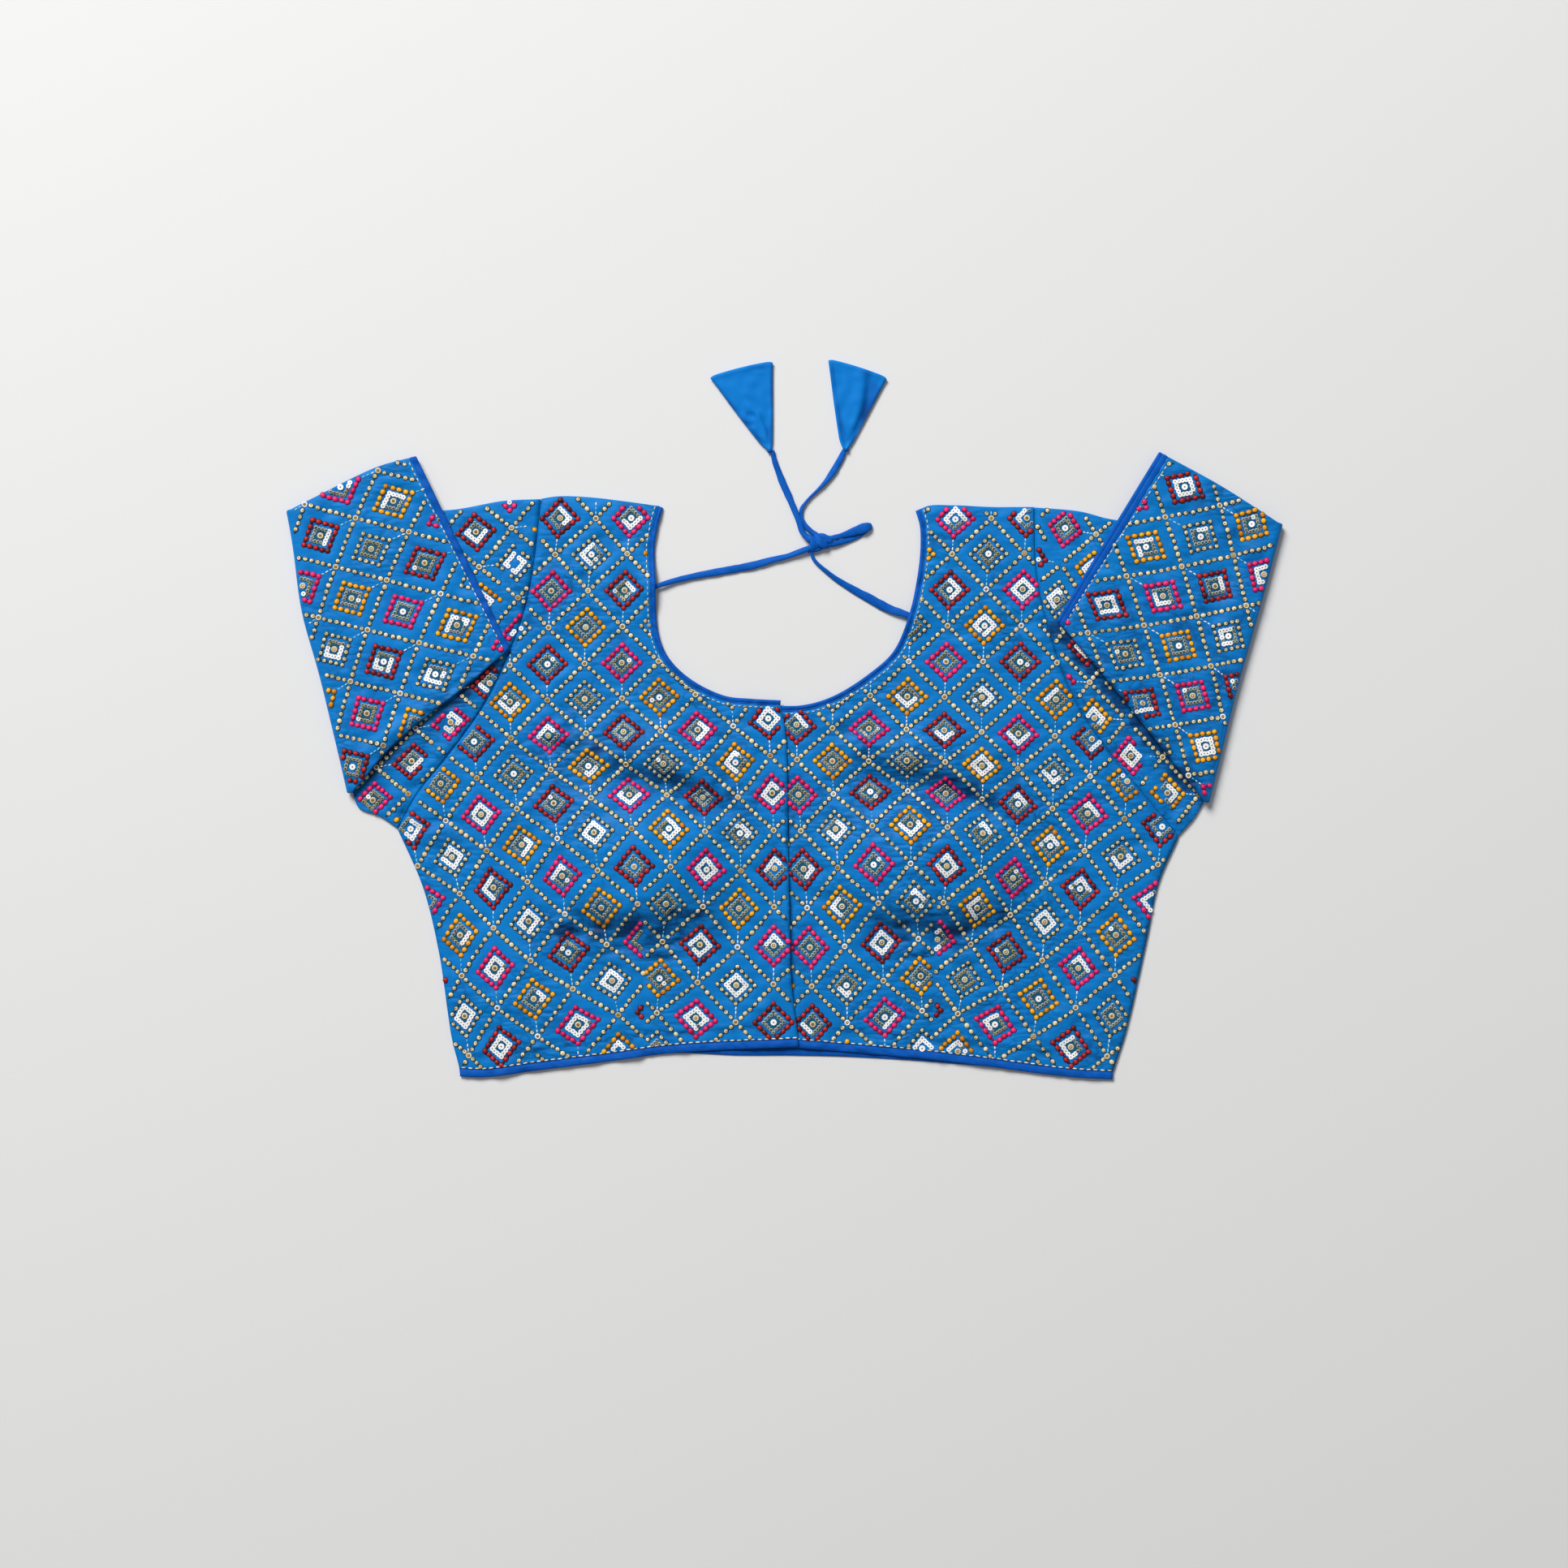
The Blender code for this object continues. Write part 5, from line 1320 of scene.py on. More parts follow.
# The knot's bands, in the same columns.
KNOT_BANDS = [
    # firm lump within
    [(17.0, 143.0, 2.3, 4.0, 0.85, 0), (20.4, 144.9, 2.6, 5.6, 0.80, 0), (24.0, 147.0, 2.7, 6.4, 0.76, 0), (27.6, 148.8, 2.6, 5.6, 0.76, 0), (31.0, 149.6, 2.3, 3.6, 0.8, 0)],
    # the low one, that draws the others together
    [(15.2, 141.8, 2.2, 3.4, 0.60, 0), (19.6, 142.4, 2.5, 3.6, 0.62, 0), (24.0, 143.9, 2.6, 3.6, 0.62, 0), (28.4, 146.0, 2.5, 3.4, 0.62, 0), (31.6, 147.4, 2.2, 3.0, 0.62, 0)],
    # down over the left end
    [(14.4, 150.8, 2.4, 3.4, 0.55, 0), (17.2, 149.6, 3.9, 3.8, 0.50, 10), (18.8, 147.4, 4.3, 4.0, 0.42, 10), (18.9, 144.8, 4.3, 4.0, 0.42, 8),
     (18.2, 142.6, 3.5, 3.8, 0.46, 4), (17.8, 141.2, 2.2, 3.0, 0.60, 0)],
    # behind, at the right end
    [(22.6, 151.4, 2.4, 3.2, 0.6, 0), (25.4, 150.8, 3.8, 3.8, 0.50, 0), (27.8, 149.4, 4.0, 4.2, 0.44, 0), (29.8, 147.6, 3.6, 4.0, 0.46, 0), (30.4, 145.8, 2.2, 3.2, 0.60, 0)],
    # slantwise over the middle
    [(20.2, 152.6, 2.4, 3.2, 0.55, 0), (21.4, 150.0, 4.0, 4.2, 0.46, 0), (23.0, 147.6, 4.9, 5.2, 0.36, 0), (25.2, 145.6, 4.6, 5.0, 0.38, 0),
     (27.4, 144.6, 3.6, 4.0, 0.48, 0), (28.8, 144.8, 2.2, 3.2, 0.55, 0)],
]


def band(rows, seed, count=16, per=5):
    """A flattened tube through the rows, closed at both ends: points, faces and middle line."""
    rows = np.asarray(rows, float)
    line = smooth(rows[:, :3], per=per)
    at = np.linspace(0, len(rows) - 1, len(line))
    rest = np.stack([np.interp(at, np.arange(len(rows)), rows[:, k]) for k in (3, 4, 5)], 1)
    run = np.gradient(line, axis=0)
    run /= np.linalg.norm(run, axis=1)[:, None]
    side, last = [], None
    for r in run:   # level across, except where the tube turns over on itself
        level = np.cross(r, [0, 0, 1.0])
        if last is None:
            last = level
        carried = last - r * (last @ r)
        carried /= np.linalg.norm(carried)
        steep = ease((abs(r[2]) - 0.55) / 0.3)
        level = level / max(np.linalg.norm(level), 1e-6) * (1 if level @ carried >= 0 else -1)
        last = level * (1 - steep) + carried * steep
        last /= np.linalg.norm(last)
        side.append(last)
    side = np.array(side)
    up = np.cross(side, run)
    distance = np.r_[0, np.cumsum(np.linalg.norm(np.diff(line, axis=0), axis=1))]
    draw = np.random.default_rng(seed)
    wobble = sum(np.sin(2 * np.pi * distance / w + draw.uniform(0, 6.28)) * s for w, s in ((6.0, 0.02), (11.0, 0.03), (29.0, 0.025)))
    rings = []
    for k in range(count):
        a = 2 * np.pi * k / count
        # fuller edges and a faint channel along the middle
        x = np.cos(a) * (1 + 0.04 * np.cos(4 * a))
        z = np.sin(a) * (1 - 0.10 * np.exp(-(np.cos(a) / 0.35) ** 2))
        half = rest[:, 0] / 2 * (1 + wobble)
        tall = half * rest[:, 1]
        turn = np.radians(rest[:, 2]) + wobble * 1.5
        sx = half * x * np.cos(turn) - tall * z * np.sin(turn)
        sz = half * x * np.sin(turn) + tall * z * np.cos(turn)
        rings.append(line + side * sx[:, None] + up * sz[:, None])
    rings = np.stack(rings, 1)
    n = len(line)
    points = np.vstack([rings.reshape(-1, 3), line[:1], line[-1:]])
    points[:, 2] = np.maximum(points[:, 2], 0.05)
    faces = grid_faces(n, count, ring=True)
    faces += [(n * count, (k + 1) % count, k) for k in range(count)]
    faces += [(n * count + 1, (n - 1) * count + k, (n - 1) * count + (k + 1) % count) for k in range(count)]
    return points, faces, line


def tie(name, rows, seed, replaces):
    points, faces, line = band(rows, seed)
    obj = piece(name, points, oriented(points, faces), ["tie"], replaces)
    return obj, line


def build_knot():
    """The knot: strands drawn over and under one another, slantwise."""
    points, faces, start = [], [], 0
    for number, rows in enumerate(KNOT_BANDS):
        p, f, _ = band(rows, 111 + number, count=16, per=7)
        points.append(p)
        faces += [tuple(start + i for i in face) for face in f]
        start += len(p)
    points = np.vstack(points)
    return piece("knot_wrap", points, oriented(points, faces), ["tie"], ["knot"])


# Corners: the two beside the tail's end, then the two far ones; then folds, and painted shade in the folds, as in the
# fronts' tables.
END_CORNERS = {"latkan_left": [(-13.0, 207.8), (-7.8, 207.4), (-48.9, 255.6), (-8.0, 265.8)],
               "latkan_right": [(36.9, 208.2), (42.3, 207.8), (28.9, 267.2), (67.2, 255.1)]}
TAIL_ENDS = {"latkan_left": (-9.4, 207.2), "latkan_right": (40.4, 207.8)}
END_FOLDS = {
    "latkan_left": [([(-30, 242), (-21, 236), (-15, 228), (-11.5, 219), (-10, 212)], 2.6, 0.42, -0.25), ([(-16, 231), (-12.5, 224), (-10, 214)], 1.8, -0.5, 0.0),
                    ([(-25, 232), (-21, 231), (-18, 230)], 1.9, -0.35, 0.2), ([(-27, 225), (-23, 224.5), (-19, 225)], 1.8, -0.3, 0.15),
                    ([(-22, 262.4), (-16, 261), (-12, 261.4)], 1.7, -0.4, 0.1), ([(-40, 247), (-26, 250), (-14, 254)], 4.0, 0.15, 0.0)],
    "latkan_right": [([(54.6, 258), (54.2, 250), (53.0, 240), (50.6, 231), (47.0, 222), (43.6, 213)], 3.2, -0.7, -0.7),
                     ([(48.6, 262), (48.8, 250), (47.8, 238), (45.4, 227), (42.6, 216)], 3.4, 0.35, 0.0),
                     ([(57.8, 256), (57.6, 248), (56.4, 240)], 2.0, 0.22, 0.0), ([(36.6, 226), (38.4, 220), (40, 214)], 1.9, -0.4, 0.2),
                     ([(31.4, 262), (33.0, 246), (36.0, 230)], 2.4, -0.2, 0.1)],
}
# Painted shade in the satin's folds and along its edges.
END_SHADE_ROWS = {
    "latkan_left": [([(-15, 232), (-12, 224), (-9.6, 213)], 1.5, 0.6), ([(-45, 250), (-36, 238), (-26, 226), (-15, 213)], 2.0, 0.5), ([(-25, 232), (-18, 230)], 1.8, 0.3),
                    ([(-27, 225), (-19, 225)], 1.5, 0.2), ([(-22, 262.4), (-16, 261), (-12, 261)], 1.6, 0.45), ([(-8.6, 262), (-8.6, 240), (-9, 215)], 1.2, 0.5)],
    "latkan_right": [([(54.4, 257), (54.6, 249), (54, 240), (52, 232), (49, 224), (45, 214)], 2.8, 0.85), ([(58, 251), (57.8, 242), (54, 232), (49.6, 222)], 2.6, 0.6),
                     ([(31, 262), (33, 246), (36, 230), (39, 214)], 1.6, 0.45), ([(37.4, 224), (39.4, 218)], 1.8, 0.4), ([(62, 247), (54, 231), (46, 215)], 1.6, 0.5)],
}


def build_latkans():
    """Folded satin end pieces: flat triangles with soft rolled edges, drawn in at the tail."""
    for name, corners in END_CORNERS.items():
        tip_a, tip_b, far_a, far_b = (np.array(p, float) for p in corners)
        tip = np.array(TAIL_ENDS[name])
        n_len, n_wide = 46, 30
        rows_top, rows_low = [], []
        for r in range(n_len + 1):
            s = r / n_len
            a, b = tip_a + (far_a - tip_a) * s, tip_b + (far_b - tip_b) * s
            axis = (far_b - far_a) / np.linalg.norm(far_b - far_a)
            drawn = 0.45 * (1 - ease(s / 0.12))   # drawn in at the tail
            a, b = a + (tip - a) * drawn, b + (tip - b) * drawn
            mid = (a + b) / 2
            need = np.linalg.norm(b - a)
            # edges bow a little
            bow = -0.5 * np.sin(np.pi * s)
            a, b = a + axis * bow, b - axis * bow * 0.4
            t = np.linspace(0, 1, n_wide + 1)
            line = a * (1 - t[:, None]) + b * t[:, None]
            # the far edge is folded: slightly round
            reach = (mid - tip) / (np.linalg.norm(mid - tip) + 1e-9)
            line = line + reach * (0.9 * (1 - (2 * t - 1) ** 2) - 1.1 * np.abs(2 * t - 1) ** 16)[:, None] * s ** 8
            side_roll = np.clip(np.minimum(t, 1 - t) * need / 1.5, 0, 1)
            end_roll = np.clip((1 - s) * 58 / 1.5, 0, 1)
            tip_roll = np.clip(s * 58 / 1.0 + 0.4, 0, 1)
            edge = np.sqrt(np.clip(1 - (1 - np.minimum(np.minimum(side_roll, end_roll), tip_roll)) ** 2, 0, 1))
            full = 0.5 + 1.05 * edge + 0.45 * np.exp(-((np.minimum(t, 1 - t) * need - 1.3) / 1.0) ** 2) * edge
            full = full + 0.45 * np.exp(-(((1 - s) * 58 - 1.4) / 1.1) ** 2)
            # gathers towards the tail
            gather = 0.14 * np.sin(t * np.pi * 3 + 0.6) * np.exp(-((s - 0.08) / 0.10) ** 2)
            relief = creases(line[:, 0], line[:, 1], END_FOLDS[name]) * edge + 0.12 * ripple(line[:, 0], line[:, 1], 91, 7, 20) * edge
            z_mid = 0.25 + 1.0 * (1 - edge)
            tall = 0.8 * np.exp(-(s / 0.08) ** 2)
            top = z_mid + full + 0.35 + (relief + gather) * edge + tall * edge
            low = np.where(edge < 0.9, 1.15 - 0.9 * edge, 0.25)
            rows_top.append(np.column_stack([line, np.maximum(top, low + 0.1)]))
            rows_low.append(np.column_stack([line, low]))
        top, low = np.array(rows_top), np.array(rows_low)
        h, w = top.shape[:2]
        points = np.vstack([top.reshape(-1, 3), low.reshape(-1, 3)])
        upper = grid_faces(h, w)
        lower = [tuple(i + h * w for i in f)[::-1] for f in upper]
        rim = [r * w for r in range(h)] + [(h - 1) * w + c for c in range(1, w)] + [r * w + w - 1 for r in range(h - 2, -1, -1)] + [c for c in range(w - 2, 0, -1)]
        walls = [(rim[k], rim[(k + 1) % len(rim)], rim[(k + 1) % len(rim)] + h * w, rim[k] + h * w) for k in range(len(rim))]
        faces = oriented(points, upper + lower + walls)
        # painted shade in the satin's folds
        dark = deeps(points[:, 0], points[:, 1], END_SHADE_ROWS[name])
        piece(name + "_satin", points, faces, ["satin"], [name], shade_and_pucker=dark)
        # thread wound round where the tail goes in
        start = tip + 0.6 * (tip - (far_a + far_b) / 2) / np.linalg.norm(tip - (far_a + far_b) / 2)
        reach = ((far_a + far_b) / 2 - tip) / np.linalg.norm((far_a + far_b) / 2 - tip)
        side = np.array([-reach[1], reach[0]])
        pts, fcs = [], []
        for turn in range(3):
            at = start + reach * (0.5 * turn)
            ring = []
            for a in np.linspace(0, 2 * np.pi, 14, endpoint=False):
                for b in np.linspace(0, 2 * np.pi, 6, endpoint=False):
                    x, z = (1.75 + 0.25 * np.cos(b)) * np.cos(a), (1.45 + 0.25 * np.cos(b)) * np.sin(a)
                    y = 0.3 * np.sin(b) + 0.12 * np.sin(a + turn)
                    p = at + side * x + reach * y
                    ring.append((p[0], p[1], max(0.1, 1.75 + z)))
            base = len(pts)
            pts += ring
            fcs += [(base + i * 6 + j, base + i * 6 + (j + 1) % 6, base + ((i + 1) % 14) * 6 + (j + 1) % 6, base + ((i + 1) % 14) * 6 + j)
                    for i in range(14) for j in range(6)]
        piece(name + "_binding", np.array(pts), oriented(np.array(pts), fcs), ["binding"])


def build_tie():
    left, left_line = tie("tie_left", TIE_LEFT, 101, ["dori_left", "tail_left"])
    right, right_line = tie("tie_right", TIE_RIGHT, 103, ["dori_right", "bow_loop", "tail_right"])
    build_knot()
    build_latkans()



# ------------------------------------------------------------ stitches and sequins
def ringed(*rings, segments=8, cap=None, base=None):
    """A closed small form of triangles: rings of (radius, height), closed by a point at
    each end or, where there are no end points, into a tube from the last ring to the first."""
    a = np.linspace(0, 2 * np.pi, segments, endpoint=False)
    points, tris = [], []
    for radius, height in rings:
        points += [(radius * np.cos(t), radius * np.sin(t), height) for t in a]
    n = len(rings)
    for r in range(n if cap is None else n - 1):
        low, high = r * segments, (r + 1) % n * segments
        for k in range(segments):
            m = (k + 1) % segments
            tris += [(low + k, high + k, high + m), (low + k, high + m, low + m)]
    if cap is not None:
        points += [(0, 0, cap), (0, 0, base)]
        top, end = n * segments, (n - 1) * segments
        tris += [(top, k, (k + 1) % segments) for k in range(segments)]
        tris += [(top + 1, end + (k + 1) % segments, end + k) for k in range(segments)]
    return np.array(points, float), np.array(tris)


def eyed(x, y):
    """A looped knot: its eye lies to one side, by a share of its radius."""
    points, tris = ringed((0.30, 0.98), (0.76, 0.62), (1.15, 0.03), segments=7, cap=0.55, base=-0.4)
    points = points.copy()
    points[:7, :2] += (x, y)
    points[21, :2] += (x, y)
    return points, tris


KNOT_FORM = ringed((0.50, 0.94), (0.86, 0.55), (1.17, 0.02), cap=1.0, base=-0.4)
KNOT_FOOT = (16, 32)     # a dark skirt round a knot: painted shade at its foot, with the dark thread there
LOOP_FORMS = [eyed(0.30, 0.10), eyed(-0.30, 0.14), eyed(0.05, -0.34), eyed(-0.10, 0.32)]
LOOP_FOOT = (14, 28)
LOOP_EYE = (28, 35)
NOTCH_FORM = ringed((1.0, 0.2), segments=4, cap=0.8, base=-0.3)
DASH_FORM = ringed((0.72, 0.85), (1.0, 0.0), segments=6, cap=1.0, base=-0.3)
SEQUIN_FORM = ringed((0.27, 0.86), (1.0, 0.80), segments=9, cap=0.86, base=-0.3)
SEQUIN_HOLE = (18, 27)
DISC_FORM = ringed((0.26, 0.70), (0.62, 0.92), (1.0, 0.62), segments=8, cap=0.60, base=-0.3)
DISC_RIM, DISC_HOLE = (16, 32), (32, 40)
HOLE_FORM = ringed((1.0, 0.75), segments=6, cap=0.8, base=-0.2)
RING_FORM = ringed((0.42, 0.35), (0.70, 1.0), (1.0, 0.35), (0.70, -0.25), segments=12)
CROSS_FORM = ringed((0.40, 0.3), (0.72, 1.0), (1.0, 0.3), (0.70, -0.25), segments=10)


class Needle:
    """Gathers small forms laid on a cloth, then makes one piece of them."""

    def __init__(self, tree, start):
        self.tree, self.start = tree, start
        self.points, self.faces, self.kinds, self.materials, self.flat = [], [], [], [], []
        self.count = 0

    def kind(self, material):
        if material not in self.materials:
            self.materials.append(material)
        return self.materials.index(material)

    def height_at(self, p):
        """Height of the cloth's middle at a plan point, or None."""
        z0 = self.start(p[0], p[1]) if callable(self.start) else self.start
        hit = self.tree.ray_cast(Vector((p[0], p[1], z0)), Vector((0, 0, -1)))
        return None if hit[0] is None else hit[0][2]

    def lay(self, form, material, at, long, wide, tall, bands=None, flat=False):
        """One form: middle, half length and half width as plan vectors, and its height."""
        at, long, wide = np.asarray(at, float), np.asarray(long, float), np.asarray(wide, float)
        z = self.height_at(at)
        if z is None:
            return False
        reach = 2.0   # slopes are taken over this distance
        frame = []
        for v in (long, wide):
            size = np.hypot(*v)
            unit = v / size
            a, b = self.height_at(at + unit * reach), self.height_at(at - unit * reach)
            slope = 0.0 if a is None or b is None else (a - b) / (2 * reach)
            if abs(slope) > 1.0:
                slope = 0.0
            turned = np.array([unit[0], unit[1], slope])
            frame.append(turned / np.linalg.norm(turned) * size)
        up = np.cross(frame[0], frame[1])
        up /= np.linalg.norm(up)
        if up[2] < 0:
            up = -up
            frame[1] = -frame[1]
        points, tris = form
        centre = np.array([at[0], at[1], z]) + up * (CLOTH / 2 - 0.02)
        made = centre + points[:, :1] * frame[0] + points[:, 1:2] * frame[1] + points[:, 2:] * (up * tall)
        self.points.append(made)
        self.faces.append(tris + self.count)
        self.count += len(made)
        if bands is None:
            self.kinds.append(np.full(len(tris), self.kind(material)))
        else:   # (first triangle, last triangle, material)
            kinds = np.full(len(tris), self.kind(material))
            for first, last, other in bands:
                kinds[first:last] = self.kind(other)
            self.kinds.append(kinds)
        self.flat.append(np.full(len(tris), flat))
        return True

    def ground(self, material, spots):
        """A thin plate of couched thread over a square of plan points, rows by columns."""
        rows, cols = spots.shape[:2]
        flat = spots.reshape(-1, 2)
        heights = [self.height_at(p) for p in flat]
        if any(h is None for h in heights):
            return
        z = np.array(heights) + CLOTH / 2
        top, low = np.column_stack([flat, z + 0.10]), np.column_stack([flat, z - 0.25])
        n = len(flat)
        tris = []
        for a, b, c, d in grid_faces(rows, cols):
            tris += [(a, c, b), (a, d, c), (n + a, n + b, n + c), (n + a, n + c, n + d)]
        rim = list(range(cols)) + [r * cols + cols - 1 for r in range(1, rows)]
        rim += [(rows - 1) * cols + c for c in range(cols - 2, -1, -1)] + [r * cols for r in range(rows - 2, 0, -1)]
        for k, a in enumerate(rim):
            b = rim[(k + 1) % len(rim)]
            tris += [(a, b, n + b), (a, n + b, n + a)]
        self.points.append(np.vstack([top, low]))
        self.faces.append(np.array(tris) + self.count)
        self.count += 2 * n
        self.kinds.append(np.full(len(tris), self.kind(material)))
        self.flat.append(np.full(len(tris), False))

    def finish(self, name, slot="embroidered_cloth"):
        points, faces = np.vstack(self.points), np.vstack(self.faces)
        obj = piece(name, points, faces, self.materials, faces_of=np.concatenate(self.kinds))
        obj.data.polygons.foreach_set("use_smooth", ~np.concatenate(self.flat))
        print(name, len(faces), "triangles")
        return obj


def inside(polygon, p):
    """Which points lie inside a polygon."""
    a, b = polygon, np.roll(polygon, -1, axis=0)
    x, y = p[:, 0][:, None], p[:, 1][:, None]
    crosses = (a[:, 1] > y) != (b[:, 1] > y)
    with np.errstate(divide="ignore", invalid="ignore"):
        at = a[:, 0] + (y - a[:, 1]) * (b[:, 0] - a[:, 0]) / (b[:, 1] - a[:, 1])
    return (crosses & (x < at)).sum(1) % 2 == 1


def depth_inside(polygon, p):
    """Distance to a polygon's outline, negative outside."""
    closed = np.vstack([polygon, polygon[:1]])
    d, _ = nearest_on(closed, p[:, 0], p[:, 1])
    return np.where(inside(polygon, p), np.abs(d), -np.abs(d))


def front_outline(side):
    neck, neck_in, hem, hem_in = panel_edges(side)
    if side == "left":
        centre = smooth([hem_in[-1]] + PLACKET[1:-1] + [neck_in[0]])
    else:   # only what shows beside the upper front
        edge = smooth(PLACKET)
        centre = edge + (-6.0, 0)
    return np.vstack([hem_in, centre[1:-1], neck_in, smooth(SHOULDER[side])[::-1][1:-1], smooth(ARMHOLE[side])[::-1],
                      smooth(SIDE[side])[::-1][1:-1]])


def flap_outline(side):
    t = SLEEVE[side]
    top, low = smooth(t["over_top"]), smooth(t["over_low"])
    k = np.linspace(1, 0, 14)[1:-1, None]
    away = np.array([low[0][1] - top[0][1], top[0][0] - low[0][0]])
    away /= np.hypot(*away) * (1 if away[0] * top[0][0] > 0 else -1)
    return np.vstack([top, low[::-1], top[0] * (1 - k) + low[0] * k + away * (fold_bow(side, k) + FOLD_R)])


def under_outline(side):
    t = SLEEVE[side]
    return np.vstack([smooth(ARMHOLE[side])[::-1], smooth(t["under_top"]), smooth(t["under_low"])[::-1]])


class Layout:
    """Where the chart's stitches may lie on one panel."""

    def __init__(self, at, keep, colours, thread_corner, seed, shade=None):
        self.at, self.keep, self.colours, self.corner = at, keep, colours, thread_corner
        self.draw = np.random.default_rng(seed)
        self.shade = shade or (lambda p: 0.0)


def sew(needle, sequins, layout, cells, lines=True):
    """Every motif, lattice line, crossing and running thread of the chart in these cells."""
    draw = layout.draw

    def spot(i, j):
        p = layout.at(np.array([i]), np.array([j]))[0]
        return p, bool(layout.keep(p[None], np.array([i]), np.array([j]))[0])

    def directions(i, j):
        a = (layout.at(np.array([i + 0.05]), np.array([j]))[0] - layout.at(np.array([i - 0.05]), np.array([j]))[0]) / 0.1
        b = (layout.at(np.array([i]), np.array([j + 0.05]))[0] - layout.at(np.array([i]), np.array([j - 0.05]))[0]) / 0.1
        return a, b

    def unit(v):
        return v / np.hypot(*v)

    def across(v):
        return np.array([-v[1], v[0]])

    def turned(v, degrees):
        c, s = np.cos(np.radians(degrees)), np.sin(np.radians(degrees))
        return np.array([v[0] * c - v[1] * s, v[0] * s + v[1] * c])

    for ci, cj in cells:
        a, b = directions(ci, cj)
        colour = layout.colours[ci % 2 + 2 * (cj % 2)]
        first = layout.at(np.array([ci]), np.array([cj]))[0]
        # knots of the square
        m, n = MOTIF, KNOTS_A_SIDE - 1
        square = [(-m + 2 * m * k / n, -m, "i") for k in range(n)] + [(m, -m + 2 * m * k / n, "j") for k in range(n)]
        square += [(m - 2 * m * k / n, m, "i") for k in range(n)] + [(-m, m - 2 * m * k / n, "j") for k in range(n)]
        for number, (di, dj, way) in enumerate(square):
            along_side = unit(a if way == "i" else b)
            pitch = np.hypot(*(a if way == "i" else b)) * 2 * m / n
            corner = number % n == 0
            p, ok = spot(ci + di, cj + dj)
            if not ok:
                continue
            p = p + draw.normal(0, 0.14, 2)
            tone = f"{colour}_{draw.choice([0, 0, 1, 1, 2] if colour != 'cream' else [0, 0, 0, 1, 1, 1])}"
            half = min(pitch * 0.46, 2.0) * draw.uniform(0.92, 1.06)
            wide = 1.68 * draw.uniform(0.92, 1.1)
            lean = turned(along_side, draw.normal(0, 6) + (0 if not corner else 45))
            if corner:
                half, wide = 1.80 * draw.uniform(0.95, 1.1), 1.70
            if colour == "cream":
                half *= 0.88
                needle.lay(LOOP_FORMS[draw.integers(0, 4)], tone, p, lean * half, across(lean) * wide * 0.94, 1.1 * draw.uniform(0.9, 1.1),
                           bands=[(*LOOP_FOOT, "cream_shade"), (*LOOP_EYE, "cream_2")])
            else:
                needle.lay(KNOT_FORM, tone, p, lean * half, across(lean) * wide, 1.2 * draw.uniform(0.9, 1.1),
                           bands=[(*KNOT_FOOT, f"{colour}_shade")])
            # painted shade in the dip before the next knot, with the dark thread there
            step = 2 * m / n
            nxt = {0: (di + step / 2, dj), 1: (di, dj + step / 2), 2: (di - step / 2, dj), 3: (di, dj - step / 2)}[number // n]
            q, ok = spot(ci + nxt[0], cj + nxt[1])
            if ok:
                needle.lay(NOTCH_FORM, f"{colour}_shade", q, along_side * 1.0, across(along_side) * 1.35, 0.55)
        # the ground of couching thread inside the square
        g = np.linspace(-0.158, 0.158, 5)
        spots = layout.at(ci + g[:, None] + 0 * g[None], cj + g[None] + 0 * g[:, None])
        if layout.keep(spots.reshape(-1, 2), (ci + g[:, None] + 0 * g[None]).ravel(), (cj + g[None] + 0 * g[:, None]).ravel()).all():
            needle.ground("ground", spots)
        # sequins inside it
        m, n = SEQUINS, SEQUINS_A_SIDE - 1
        ring = [(-m + 2 * m * k / n, -m) for k in range(n)] + [(m, -m + 2 * m * k / n) for k in range(n)]
        ring += [(m - 2 * m * k / n, m) for k in range(n)] + [(-m, m - 2 * m * k / n) for k in range(n)]
        # painted shade and reflection: where a bust's side lies in shade, fewer sequins are made white as if catching
        # the light, and more get gilt rims
        dark = layout.shade(first)
        chance = draw.uniform()
        around = 4 * n
        run = around if chance < 0.20 * (1 - dark) else (int(draw.integers(4, 12)) if chance < 0.72 - 0.5 * dark else 0)
        start = n * int(draw.integers(0, 4)) + int(draw.integers(0, 2))
        odd_one = int(draw.integers(0, around)) if draw.uniform() < 0.35 else -1
        gilt = draw.uniform() < 0.35 + 0.3 * dark
        for number, (di, dj) in enumerate(ring):
            p, ok = spot(ci + di, cj + dj)
            if not ok:
                continue
            p = p + draw.normal(0, 0.1, 2)
            # the white films are painted reflection: they stand for the sequins that catch the light
            painted_glint = ((number - start) % around < run) != (number == odd_one)
            lean = turned(unit(a), draw.uniform(0, 40))
            if painted_glint:
                r = 1.60
                sequins.lay(SEQUIN_FORM, "white_0" if draw.uniform() < 0.8 else "white_1", p, lean * r, across(lean) * r,
                            0.62 * draw.uniform(0.95, 1.05), bands=[(*SEQUIN_HOLE, "hole_0")], flat=True)
            else:
                r = 1.45 * draw.uniform(0.88, 1.06)
                rim = "rim_1" if gilt and draw.uniform() < 0.75 else "rim_0"
                inner = "clear_0" if draw.uniform() < 0.5 else "clear_1"
                sequins.lay(DISC_FORM, inner, p, lean * r, across(lean) * r, 0.62 * draw.uniform(0.8, 1.25),
                            bands=[(*DISC_RIM, rim), (*DISC_HOLE, "hole_0")])
        p, ok = spot(ci, cj)
        if ok:
            lean = turned(unit(a), draw.uniform(0, 40))
